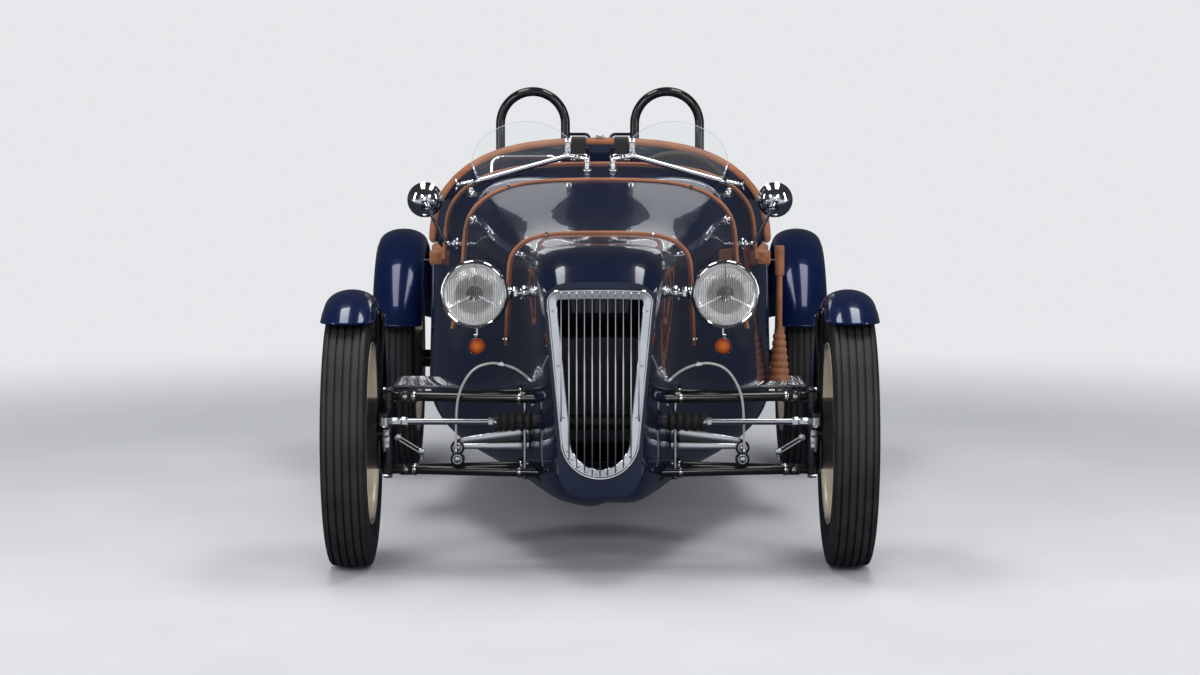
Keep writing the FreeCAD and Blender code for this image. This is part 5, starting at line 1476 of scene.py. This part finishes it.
class ROADSTER_OT_suspension(bpy.types.Operator):
    """Fittings of the open front suspension: joints, bolts, clamps, rod ends and brake hoses"""
    bl_idname = "roadster.suspension"
    bl_label = "Suspension fittings"

    def execute(self, context):
        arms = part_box("suspension_arms")
        self.upper_z, self.lower_z = arms[1].z - 0.012, arms[0].z + 0.012
        for side, name in SIDE_NAMES.items():
            self.make_arm_fittings(name, side)
            self.make_pin_fittings(name, side)
            self.make_rocker(name, side)
            self.make_pins(name, side)
            self.make_hose(name, side)
        self.make_rack_fittings()
        return {"FINISHED"}

    def leg(self, side, fore, z, share):
        """Place on a wishbone's leg, by its share from the kingpin's eye inwards."""
        eye = Vector((side * LEFT_PIN.x, AXLE_Y, z))
        return eye.lerp(Vector((side * 0.1353, AXLE_Y + fore * 0.085, z)), share)

    def make_arm_fittings(self, name, side):
        """Bright collars on the legs, and the dark blocks of the ball joints with their bolts."""
        bm = bmesh.new()
        for z in (self.upper_z, self.lower_z):
            for fore in (-1, 1):
                for share in (0.155, 0.80):
                    bar(bm, self.leg(side, fore, z, share), self.leg(side, fore, z, share + 0.022),
                        0.0152, segments=24, bevel=0.0012)
        settled(bm, f"arm_collars_{name}", "steel")
        bm = bmesh.new()
        place = Vector((side * (LEFT_PIN.x - 0.059), AXLE_Y, self.upper_z))
        low = Vector((side * (LEFT_PIN.x - 0.052), AXLE_Y, self.lower_z))
        block(bm, place, (0.050, 0.044, 0.034), 0.005)
        block(bm, place + X * side * 0.018, (0.020, 0.052, 0.026), 0.004)
        block(bm, low, (0.040, 0.040, 0.028), 0.005)
        settled(bm, f"joint_blocks_{name}", "frame_black")
        bm = bmesh.new()
        for across in (-0.012, 0.012):
            bolt(bm, place + Vector((across, -0.0215, 0)), -Y, 0.0055)
        bolt(bm, low - Y * 0.0195, -Y, 0.0055)
        settled(bm, f"joint_bolts_{name}", "steel")

    def make_pin_fittings(self, name, side):
        """Castle nuts on the kingpin's ends, and the brake bracket with its short rod."""
        bm = bmesh.new()
        foot, top = (corner.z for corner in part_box("knuckle_left"))
        pin = Vector((side * LEFT_PIN.x, AXLE_Y, 0))
        hexagon(bm, pin, Z, top - 0.008, top + 0.002, 0.0135, 0.0012)
        hexagon(bm, pin, Z, foot - 0.002, foot + 0.008, 0.0135, 0.0012)
        plate = pin + Vector((side * 0.004, -0.026, 0.353))
        block(bm, plate, (0.022, 0.008, 0.062), 0.003)
        for lift in (-0.017, 0.017):
            bolt(bm, plate + Vector((0, -0.004, lift)), -Y, 0.0068)
        settled(bm, f"kingpin_fittings_{name}", "steel", body=f"upright_{name}")
        bm = bmesh.new()
        outer, inner = (Vector((side * x, AXLE_Y - 0.032, z))
                        for x, z in ((0.559, 0.368), (0.494, 0.328)))
        for lift in (0.0, -0.011):
            bar(bm, outer + Z * lift, inner + Z * lift, 0.0030, segments=10)
        for place in (outer, inner):
            collar(bm, place - Z * 0.0055, Y, 0.008, -0.004, 0.0095, segments=20, bevel=0.0008)
        collar(bm, inner + Y * 0.004, -Z, 0.010, 0.030, 0.0042, segments=12)
        settled(bm, f"brake_rods_{name}", "steel", body=f"upright_{name}")

    def make_rocker(self, name, side):
        """Polished rocker: two tapered arms that part inwards, a web behind them, and its bolts."""
        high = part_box("rockers")[1]
        top = high.z
        y = AXLE_Y - 0.038
        step_z = 0.335
        foot, step_foot = (skin_beside(y, z)[0].x for z in (top - 0.012, step_z + 0.012))
        tip = Vector((high.x - 0.020, y, step_z - 0.010))
        bm = bmesh.new()
        for start_z, end_x, end_z, height in ((0.3535, foot, top - 0.016, 0.024),
                                              (0.3385, step_foot, 0.340, 0.021)):
            self.add_arm(bm, Vector((side * (tip.x - 0.006), y, start_z)),
                         Vector((side * (end_x + 0.001), y, end_z)), height)
        settled(bm, f"rocker_arms_{name}", "polished_alloy", "rockers", 30)
        bm = bmesh.new()
        inner = ((foot + step_foot) / 2 + 0.002, y + 0.002, (top + 0.324) / 2)
        self.add_arm(bm, side_place((tip.x, y + 0.002, 0.346), side), side_place(inner, side), 0.034,
                     0.003)
        places = [Vector((side * tip.x, y, tip.z + lift)) for lift in (0.010, -0.022)]
        for place in places:
            collar(bm, place, Y, 0.0058, -0.0066, 0.0200, segments=32, bevel=0.0015)
        settled(bm, f"rocker_web_{name}", "frame_black", angle=30)
        bm = bmesh.new()
        for place in places:
            lathe(bm, [(6, 9.5), (6, 13.8), (12, 13.8), (13.2, 12.6), (13.2, 10.6), (12, 9.5), (6, 9.5)],
                  place, -Y, 32)
            collar(bm, place, -Y, 0.0060, 0.0180, 0.0060, segments=20, bevel=0.001)
            bolt(bm, place - Y * 0.0180, -Y, 0.0052)
        settled(bm, f"rocker_bolts_{name}", "steel")

    def add_arm(self, bm, start, end, height, thickness=0.0118):
        """Flat bar between two places, lower at its start."""
        way = end - start
        up = way.cross(Y).normalized()
        if up.z < 0:
            up = -up
        basis = Matrix((way.normalized(), Y, up)).transposed().to_4x4()
        matrix = (Matrix.Translation((start + end) / 2) @ basis
                  @ Matrix.Diagonal((way.length, thickness, 1, 1)))
        made = bmesh.ops.create_cube(bm, size=1.0, matrix=matrix)["verts"]
        for vert in made:
            far = (vert.co - start).dot(way) > way.length_squared / 2
            level = (vert.co - (end if far else start)).dot(up)
            vert.co += up * (math.copysign(height / 2 * (1.0 if far else 0.7), level) - level)
        soften(bm, {edge for vert in made for edge in vert.link_edges}, min(0.0018, thickness * 0.3))

    def make_pins(self, name, side):
        """Upright pins through both wishbones' front and rear legs beside the nose."""
        bm = bmesh.new()
        for fore in (-1, 1):
            top = self.leg(side, fore, self.upper_z + 0.016, 0.842)
            foot = self.leg(side, fore, self.lower_z - 0.018, 0.842)
            bar(bm, foot, top, 0.0048, segments=14)
            for place in (top, foot + Z * 0.006):
                hexagon(bm, place, Z, -0.006, 0, 0.0092, 0.0008)
        settled(bm, f"arm_pins_{name}", "steel")

    def make_hose(self, name, side):
        """Brake hose in one sweep from the nose's side to its union, with bright ends."""
        low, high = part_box("brake_hoses")
        y = (low.y + high.y) / 2
        radius = (high.y - low.y) / 2
        thin = radius * 0.68
        end_x = high.x - radius
        start_z = high.z - 0.058
        foot = skin_beside(y, start_z)[0].x
        route = ((foot - 0.002, start_z), (foot + 0.030, start_z + 0.030), (foot + 0.075, high.z - 0.010),
                 ((foot + end_x) / 2 + 0.01, high.z - 0.005), (end_x - 0.045, high.z - 0.022),
                 (end_x - 0.008, high.z - 0.085), (end_x, (low.z + high.z) / 2 - 0.03),
                 (end_x, low.z + 0.0005))
        path = smoothed([Vector((side * x, y, z)) for x, z in route], 8)
        bm = bmesh.new()
        tube(bm, path, thin, 14)
        settled(bm, f"brake_hose_{name}", "hose", "brake_hoses", 60)
        bm = bmesh.new()
        hexagon(bm, path[0], (path[5] - path[0]).normalized(), 0, 0.016, thin + 0.0026, 0.0006)
        hexagon(bm, path[-1], (path[-1] - path[-6]).normalized(), -0.018, 0.001, thin + 0.0026, 0.0006)
        quarter = len(path) // 4
        bar(bm, path[quarter], path[quarter + 4], thin + 0.0032, segments=6, bevel=0.0006)
        settled(bm, f"hose_ends_{name}", "chrome")

    def make_rack_fittings(self):
        """Clamps and collars on the gaiters, and lock nuts and rod ends on the tie rods."""
        low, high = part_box("steering_rack")
        y, z = (low.y + high.y) / 2, (low.z + high.z) / 2
        bm = bmesh.new()
        for side in SIDES:
            start = Vector((side * (high.x - 0.0045), y, z))
            collar(bm, start, X * side, -0.003, 0.003, 0.0212, segments=28, bevel=0.0008)
            hexagon(bm, start, X * side, 0.008, 0.021, 0.0125)
            bolt(bm, start - Y * 0.021, -Y, 0.0034)
        settled(bm, "gaiter_clamps", "steel")
        rod_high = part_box("rack_bar")[1]
        bm = bmesh.new()
        for side in SIDES:
            end = Vector((side * (rod_high.x - 0.013), y, z))
            hexagon(bm, end, X * side, -0.062, -0.044, 0.0128)
            hexagon(bm, end, X * side, -0.042, -0.012, 0.0105)
            for up in (Z, -Z):
                bolt(bm, end + up * (rod_high.z - z - 0.001), up, 0.0072)
        settled(bm, "tie_rod_ends", "steel", body="rack")


class ROADSTER_OT_steering_wheel(bpy.types.Operator):
    """Stitched rim, drilled spokes, boss and column of the steering wheel"""
    bl_idname = "roadster.steering_wheel"
    bl_label = "Steering wheel"

    rim_radius: length("Rim radius", "Radius of the wheel's rim", 0.170)

    def execute(self, context):
        axis = Vector(JOINTS["steering_turn"]["axis"]).normalized()
        if axis.y < 0:
            axis = -axis
        self.up = axis.cross(X).normalized()
        if self.up.z < 0:
            self.up = -self.up
        centre = WHEEL_CENTRE
        bm = bmesh.new()
        tube(bm, [centre + self.way(3.75 * k) * self.rim_radius for k in range(96)], 0.0118, 16,
             closed=True)
        for k in range(72):
            inner = centre + self.way(5 * k) * (self.rim_radius - 0.0117)
            half = self.way(5 * k + 90) * 0.0022 + axis * 0.0024
            tube(bm, [inner - half, inner + half], 0.0007, 5)
        settled(bm, "wheel_rim", "steering_black", "steering_wheel", 60, "steering")
        bm = bmesh.new()
        for k in range(3):
            self.add_spoke(bm, axis, self.way(150 + 120 * k))
        lathe(bm, [(-28, 0), (-28, 26), (-24, 29.5), (2, 29.5), (6.5, 27.5), (6.8, 0)], centre, axis, 40)
        for k in range(6):
            bolt(bm, centre + self.way(60 * k) * 0.0225 + axis * 0.0055, axis, 0.0024)
        settled(bm, "wheel_spokes", "polished_alloy", body="steering")
        bm = bmesh.new()
        lathe(bm, [(6.9, 0), (6.9, 17), (8.5, 18.5), (11, 18), (11.8, 15), (11.9, 0)], centre, axis, 32)
        collar(bm, centre, axis, -0.3995, -0.0275, 0.0119, segments=28)
        settled(bm, "wheel_button_and_column", "frame_black", body="steering")
        return {"FINISHED"}

    def way(self, degrees):
        """Direction in the wheel's plane."""
        return around(degrees, 0, X, self.up)

    def add_spoke(self, bm, axis, out):
        """Flat spoke with a row of holes."""
        basis = Matrix((out, axis.cross(out).normalized(), axis)).transposed().to_4x4()
        half = (self.rim_radius - 0.030) / 2
        matrix = (Matrix.Translation(WHEEL_CENTRE + out * (0.0265 + half)) @ basis
                  @ Matrix.Diagonal((half, 0.0105, 1, 1)))
        made = bmesh.ops.create_grid(bm, x_segments=6, y_segments=1, size=1.0, matrix=matrix)["verts"]
        holes = list({face for vert in made for face in vert.link_faces})
        bmesh.ops.inset_individual(bm, faces=holes, thickness=0.0042)
        corners = [vert for face in holes for vert in face.verts]
        bmesh.ops.delete(bm, geom=holes, context="FACES_ONLY")
        ring = {face for vert in corners if vert.is_valid for face in vert.link_faces}
        bmesh.ops.solidify(bm, geom=list(ring), thickness=0.0045)


class ROADSTER_OT_cabin(bpy.types.Operator):
    """Dials and switches, the outside lever, step studs, flanges of hoops and bar, and clips"""
    bl_idname = "roadster.cabin"
    bl_label = "Cabin and outside fittings"

    def execute(self, context):
        self.make_dials()
        self.make_switches()
        self.make_lever()
        for side, name in SIDE_NAMES.items():
            self.make_studs(name, side)
            self.make_hoop_feet(name, side)
            self.make_catch(name, side)
        self.make_bar_flanges()
        self.make_roll_clip()
        return {"FINISHED"}

    def make_dials(self):
        """Two large and three small dials in bright bezels under glass."""
        for number, (x, z, radius) in enumerate((
                (0.150, 0.925, 46), (0.330, 0.905, 46), (0.050, 0.935, 27), (-0.020, 0.935, 27),
                (-0.090, 0.935, 27))):
            centre = Vector((x, SCUTTLE_SEAM_Y - 0.0003, z))
            inner = radius * 0.86
            bezel = [(0, 0), (0, radius), (4, radius), (7.2, radius * 0.97), (8, radius * 0.93),
                     (6.8, radius * 0.88), (3, inner), (3, 0)]
            spun(f"dial_bezel_{number}", bezel, centre, Y, "chrome", steps=48)

            def round_dial(places):
                """Turn round the middle for u, share of the radius for v."""
                offsets = [co - centre for co in places]
                middle = sum(offsets, Vector()) / len(offsets)
                near = math.atan2(middle.z, middle.x)
                turns = [math.atan2(offset.z, offset.x) if offset.length > inner * 0.00005 else near
                         for offset in offsets]
                return [(turn / math.tau + round((near - turn) / math.tau), offset.length / inner * 1000)
                        for turn, offset in zip(turns, offsets)]
            disc = [(3.1, 0), (3.1, inner), (3.6, inner), (3.6, 0)]
            face = spun(f"dial_face_{number}", disc, centre, Y, "dial", slot="frame_black", steps=48)
            wheel_uv(face, "dial", round_dial)
            bm = bmesh.new()
            tip = centre + around(200 - 35 * number) * radius * 0.0007
            bar(bm, centre + Y * 0.0048, tip + Y * 0.0046, 0.0009, 0.0005, 6)
            collar(bm, centre, Y, 0.0037, 0.0058, 0.0034, segments=14, bevel=0.0005)
            settled(bm, f"dial_needle_{number}", "wheel_cream")

    def make_switches(self):
        """Row of toggle switches and two pull knobs under the small dials."""
        bm = bmesh.new()
        y = SCUTTLE_SEAM_Y - 0.0003
        for k in range(5):
            place = Vector((-0.105 + 0.038 * k, y, 0.868))
            hexagon(bm, place, Y, 0, 0.005, 0.0078, 0.0008)
            bar(bm, place + Y * 0.004, place + Vector((0, 0.022, -0.007)), 0.0022, 0.0036, 10, 0.0005)
        for x in (0.095, 0.385):
            place = Vector((x, y, 0.862))
            collar(bm, place, Y, 0, 0.018, 0.0035, segments=12)
            collar(bm, place, Y, 0.016, 0.026, 0.0095, 0.0080, 24, 0.0015)
        settled(bm, "dash_switches", "chrome")

    def make_lever(self):
        """Outside brake lever: a folded leather boot, a rod and a wrapped grip."""
        low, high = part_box("handbrake_lever")
        place = Vector(((low.x + high.x) / 2, (low.y + high.y) / 2, low.z))
        top = (high.z - low.z) * 1000
        boot = [(0, 0), (0, 33.5)]
        for k in range(7):
            radius, z = 33.5 - 15.5 * k / 7, 4 + 150 * k / 7
            boot += [(z, radius), (z + 9, radius - 1), (z + 14.5, radius - 5.2)]
        boot += [(157, 16.5), (157.5, 0)]
        spun("lever_boot", boot, place, Z, "leather", "handbrake_lever", 50, steps=36)
        grip = [(157.4, 0), (157.4, 9.2), (top - 96, 9.2), (top - 94, 13.5)]
        for k in range(9):
            z = top - 91 + 8.8 * k
            grip += [(z, 14.2), (z + 3.5, 15.8), (z + 7, 14.2)]
        grip += [(top - 6, 15), (top - 2, 12), (top - 1.2, 0)]
        spun("lever_grip", grip, place, Z, "leather", angle=50, steps=32)
        button = [(top - 1.2, 0), (top - 1.2, 7), (top - 0.2, 6.6), (top, 0)]
        spun("lever_button", button, place, Z, "chrome", angle=40, steps=24)

    def make_studs(self, name, side):
        """Raised diamonds of the step's chequer plate."""
        low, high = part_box("step_plates")
        y0, y1 = low.y + 0.014, high.y - 0.014
        x1 = high.x - 0.012
        bm = bmesh.new()
        rows = 6
        for i in range(17):
            y = y0 + (y1 - y0) * i / 16
            x0 = skin_beside(y, high.z)[0].x + 0.012
            for k in range(rows):
                x = x0 + (x1 - x0) * (k + 0.5 * (i % 2)) / (rows - 0.5)
                spot = Vector((side * x, y, high.z - 0.0002))
                turn = Matrix.Rotation(math.radians(35 if (i + k) % 2 else -35), 4, "Z")
                bmesh.ops.create_cone(bm, cap_ends=True, segments=4, radius1=0.0062, radius2=0.0034,
                                      depth=0.0018, matrix=Matrix.Translation(spot + Z * 0.0009) @ turn
                                      @ Matrix.Diagonal((1.5, 0.55, 1, 1)))
        settled(bm, f"step_studs_{name}", "polished_alloy", angle=20)

    def make_hoop_feet(self, name, side):
        """Round flanges with bolts where a hoop meets the deck."""
        low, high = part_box("roll_hoops")
        bm = bmesh.new()
        for x in (0.114, 0.328):
            foot, normal = skin_below(side * x, (low.y + high.y) / 2)
            collar(bm, foot, normal, -0.002, 0.005, 0.034, 0.0325, 32, 0.0015)
            first = normal.orthogonal().normalized()
            for k in range(4):
                out = Matrix.Rotation(math.tau * k / 4 + 0.6, 3, normal) @ first
                bolt(bm, foot + normal * 0.0045 + out * 0.0255, normal, 0.0042)
        settled(bm, f"hoop_feet_{name}", "frame_black")

    def make_catch(self, name, side):
        """Spring catch that holds the bonnet's side to the scuttle."""
        bm = bmesh.new()
        place, normal = skin_hit((side * 0.8, BONNET_SEAM_Y - 0.045, 1.25),
                                 Vector((-side * 0.8, 0, -0.62)).normalized())
        block(bm, place + normal * 0.003, (0.020, 0.030, 0.006), 0.0018, turned(normal))
        handle = place + normal * 0.009
        tube(bm, [handle - Y * 0.026, handle - Y * 0.008 + normal * 0.004, handle + Y * 0.012,
                  handle + Y * 0.034 + normal * 0.002], [0.0030, 0.0038, 0.0034, 0.0028], 10)
        bar(bm, place, handle + normal * 0.006, 0.0056, segments=16, bevel=0.0008)
        settled(bm, f"bonnet_catch_{name}", "chrome", body="bonnet")

    def make_bar_flanges(self):
        """Flanges where the grab bar meets the scuttle."""
        low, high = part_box("grab_bar")
        bm = bmesh.new()
        for x in (low.x + 0.0075, high.x - 0.0075):
            place = Vector((x, SCUTTLE_SEAM_Y, low.z + 0.0095))
            collar(bm, place, Y, -0.0002, 0.0045, 0.0185, 0.0170, 28, 0.001)
            for k in range(3):
                bolt(bm, place + around(120 * k, 0.5) * 0.0130 + Y * 0.004, Y, 0.0028)
        settled(bm, "grab_bar_flanges", "chrome")

    def make_roll_clip(self):
        """Bright clip on the middle of the rear roll."""
        y = COCKPIT_END_Y + ROLL_RADIUS
        top = skin_below(0, y)[0].z + ROLL_RADIUS * 1.5
        bm = bmesh.new()
        block(bm, Vector((0, y, top + 0.0012)), (0.030, 0.024, 0.0036), 0.0014)
        for x in (-0.009, 0.009):
            bolt(bm, Vector((x, y, top + 0.0028)), Z, 0.0034)
        settled(bm, "roll_clip", "chrome")


class ROADSTER_OT_stage(bpy.types.Operator):
    """Pale floor and backdrop, soft lamps and the camera at the photograph's place"""
    bl_idname = "roadster.stage"
    bl_label = "Stage"

    camera_ahead: length("Camera ahead", "Distance ahead of the front axle", 8.6)
    camera_height: length("Camera height", "Height above the floor", 1.4)
    camera_pitch: FloatProperty(name="Camera tilt", description="Tilt below the level",
                                default=math.radians(5.07), subtype="ANGLE")
    lens: FloatProperty(name="Lens", description="Focal length on a 36 mm sensor", default=93.5)

    def execute(self, context):
        scene = context.scene
        scene.view_settings.view_transform = "Standard"
        camera = linked("camera", bpy.data.cameras.new("camera"))
        camera.data.lens = self.lens
        camera.data.sensor_width = 36.0
        camera.location = (0, AXLE_Y - self.camera_ahead, self.camera_height)
        camera.rotation_euler = (math.pi / 2 - self.camera_pitch, 0, 0)
        scene.camera = camera
        self.make_floor(scene.roadster_colours.floor)
        self.make_world(scene)
        self.make_lamps()
        return {"FINISHED"}

    def make_floor(self, pick):
        """Wide disc of floor that fades into the backdrop far from the car, dim in reflections."""
        bm = bmesh.new()
        bmesh.ops.create_circle(bm, cap_ends=True, segments=96, radius=60.0)
        mesh = bpy.data.meshes.new("floor")
        bm.to_mesh(mesh)
        bm.free()
        floor = linked("floor", mesh)
        material, tree, surface = new_material("pale floor")
        toned(tree, surface, rgba(pick, 0.97), rgba(pick, 1.03), 1.5, 0.55, 0.7)
        place = object_position(tree)
        far = add(tree, "VectorMath", place, operation="LENGTH").outputs["Value"]
        glow = add(tree, "Emission", Color=rgba(BACKDROP), Strength=1.0).outputs[0]
        pale = add(tree, "MixShader", remap(tree, far, 2.2, 5.6, interpolation_type="SMOOTHSTEP"),
                   tree.nodes["Principled BSDF"].outputs[0], glow)
        ahead = add(tree, "SeparateXYZ", place).outputs["Y"]
        shade = blend(tree, remap(tree, ahead, -1.9, -5.0, interpolation_type="SMOOTHSTEP"),
                      (0.03, 0.034, 0.045, 1), (0.62, 0.65, 0.70, 1))
        dim = add(tree, "Emission", Color=shade, Strength=1.0)
        path = add(tree, "LightPath").outputs
        mirrored = add(tree, "Math", path["Is Glossy Ray"], path["Is Transmission Ray"],
                       operation="SUBTRACT", use_clamp=True)
        mix = add(tree, "MixShader", mirrored.outputs[0], pale.outputs[0], dim.outputs[0])
        plug(tree.nodes["Material Output"].inputs["Surface"], mix.outputs[0])
        mesh.materials.append(material)

    def make_world(self, scene):
        """Plain soft light, a pale backdrop, and a dimmer room above it for reflections."""
        world = bpy.data.worlds.new("studio")
        world.use_nodes = True
        tree = world.node_tree
        lighting = tree.nodes["Background"]
        plug(lighting.inputs["Color"], (0.86, 0.9, 1.0, 1))
        plug(lighting.inputs["Strength"], 0.48)
        backdrop = add(tree, "Background", Color=rgba(BACKDROP), Strength=1.0)
        parts = add(tree, "SeparateXYZ", add(tree, "TexCoord").outputs["Generated"]).outputs
        level = add(tree, "Mix", remap(tree, parts["Z"], 0.02, 0.5, interpolation_type="SMOOTHSTEP"))
        plug(level.inputs[2], remap(tree, parts["Y"], -0.82, -0.995, 0.06, 0.8,
                                    interpolation_type="SMOOTHSTEP"))
        plug(level.inputs[3], 0.045)
        shade = blend(tree, level.outputs[0], (0, 0, 0, 1), (0.88, 0.93, 1.0, 1))
        room = add(tree, "Background", Color=shade, Strength=1.0)
        path = add(tree, "LightPath").outputs
        clear = calc(tree, "MAXIMUM", path["Is Camera Ray"], path["Is Transmission Ray"])
        mirrored = add(tree, "MixShader", path["Is Glossy Ray"], lighting.outputs[0], room.outputs[0])
        mix = add(tree, "MixShader", clear, mirrored.outputs[0], backdrop.outputs[0])
        plug(tree.nodes["World Output"].inputs["Surface"], mix.outputs[0])
        scene.world = world

    def make_lamps(self):
        """Soft strips beside and above the car, and two keys ahead of it."""
        nose = (0, AXLE_Y, 0.45)
        for title, place, target, width, height, power in (
                ("strip", (4.2, AXLE_Y - 1.6, 1.9), nose, 0.5, 3.0, 46.0),
                ("key", (2.4, AXLE_Y - 6.0, 3.4), nose, 1.2, 1.2, 60.0),
                ("overhead", (1.15, -0.6, 4.2), (1.15, -0.6, 0), 1.0, 3.4, 56.0)):
            for side, name in SIDE_NAMES.items():
                light = bpy.data.lights.new(f"{name} {title}", "AREA")
                light.shape = "RECTANGLE"
                light.size, light.size_y, light.energy = width, height, power
                lamp = linked(light.name, light)
                lamp.location = side_place(place, side)
                way = side_place(target, side) - side_place(place, side)
                lamp.rotation_euler = way.to_track_quat("-Z", "Y").to_euler()


CLASSES = [
    RoadsterColours, RoadsterSizes, ROADSTER_OT_finishes, ROADSTER_OT_tyres, ROADSTER_OT_wheels,
    ROADSTER_OT_wings, ROADSTER_OT_grille, ROADSTER_OT_headlights, ROADSTER_OT_small_lamps,
    ROADSTER_OT_screens, ROADSTER_OT_mirrors, ROADSTER_OT_leather, ROADSTER_OT_seats,
    ROADSTER_OT_belts, ROADSTER_OT_suspension, ROADSTER_OT_steering_wheel, ROADSTER_OT_cabin,
    ROADSTER_OT_stage,
]


class ROADSTER_PT_panel(bpy.types.Panel):
    """Lists the operators and the choices in the sidebar"""
    bl_idname = "ROADSTER_PT_panel"
    bl_label = "Roadster"
    bl_space_type = "VIEW_3D"
    bl_region_type = "UI"
    bl_category = "Roadster"

    def draw(self, context):
        for cls in CLASSES:
            if issubclass(cls, bpy.types.Operator):
                self.layout.operator(cls.bl_idname)
        for group in (context.scene.roadster_colours, context.scene.roadster_sizes):
            for key in group.__annotations__:
                self.layout.prop(group, key)


def register():
    """Adds the classes and the scene's choices."""
    for cls in CLASSES + [ROADSTER_PT_panel]:
        bpy.utils.register_class(cls)
    bpy.types.Scene.roadster_colours = PointerProperty(type=RoadsterColours)
    bpy.types.Scene.roadster_sizes = PointerProperty(type=RoadsterSizes)


def unregister():
    """Takes them away again."""
    del bpy.types.Scene.roadster_sizes
    del bpy.types.Scene.roadster_colours
    for cls in reversed(CLASSES + [ROADSTER_PT_panel]):
        bpy.utils.unregister_class(cls)


def main():
    """Builds the car's looks."""
    register()
    make_skin_tree()
    for name in ("finishes", "tyres", "wheels", "wings", "grille", "headlights", "small_lamps", "screens",
                 "mirrors", "leather", "seats", "belts", "suspension", "steering_wheel", "cabin", "stage"):
        getattr(bpy.ops.roadster, name)()


if __name__ == "__main__":
    main()
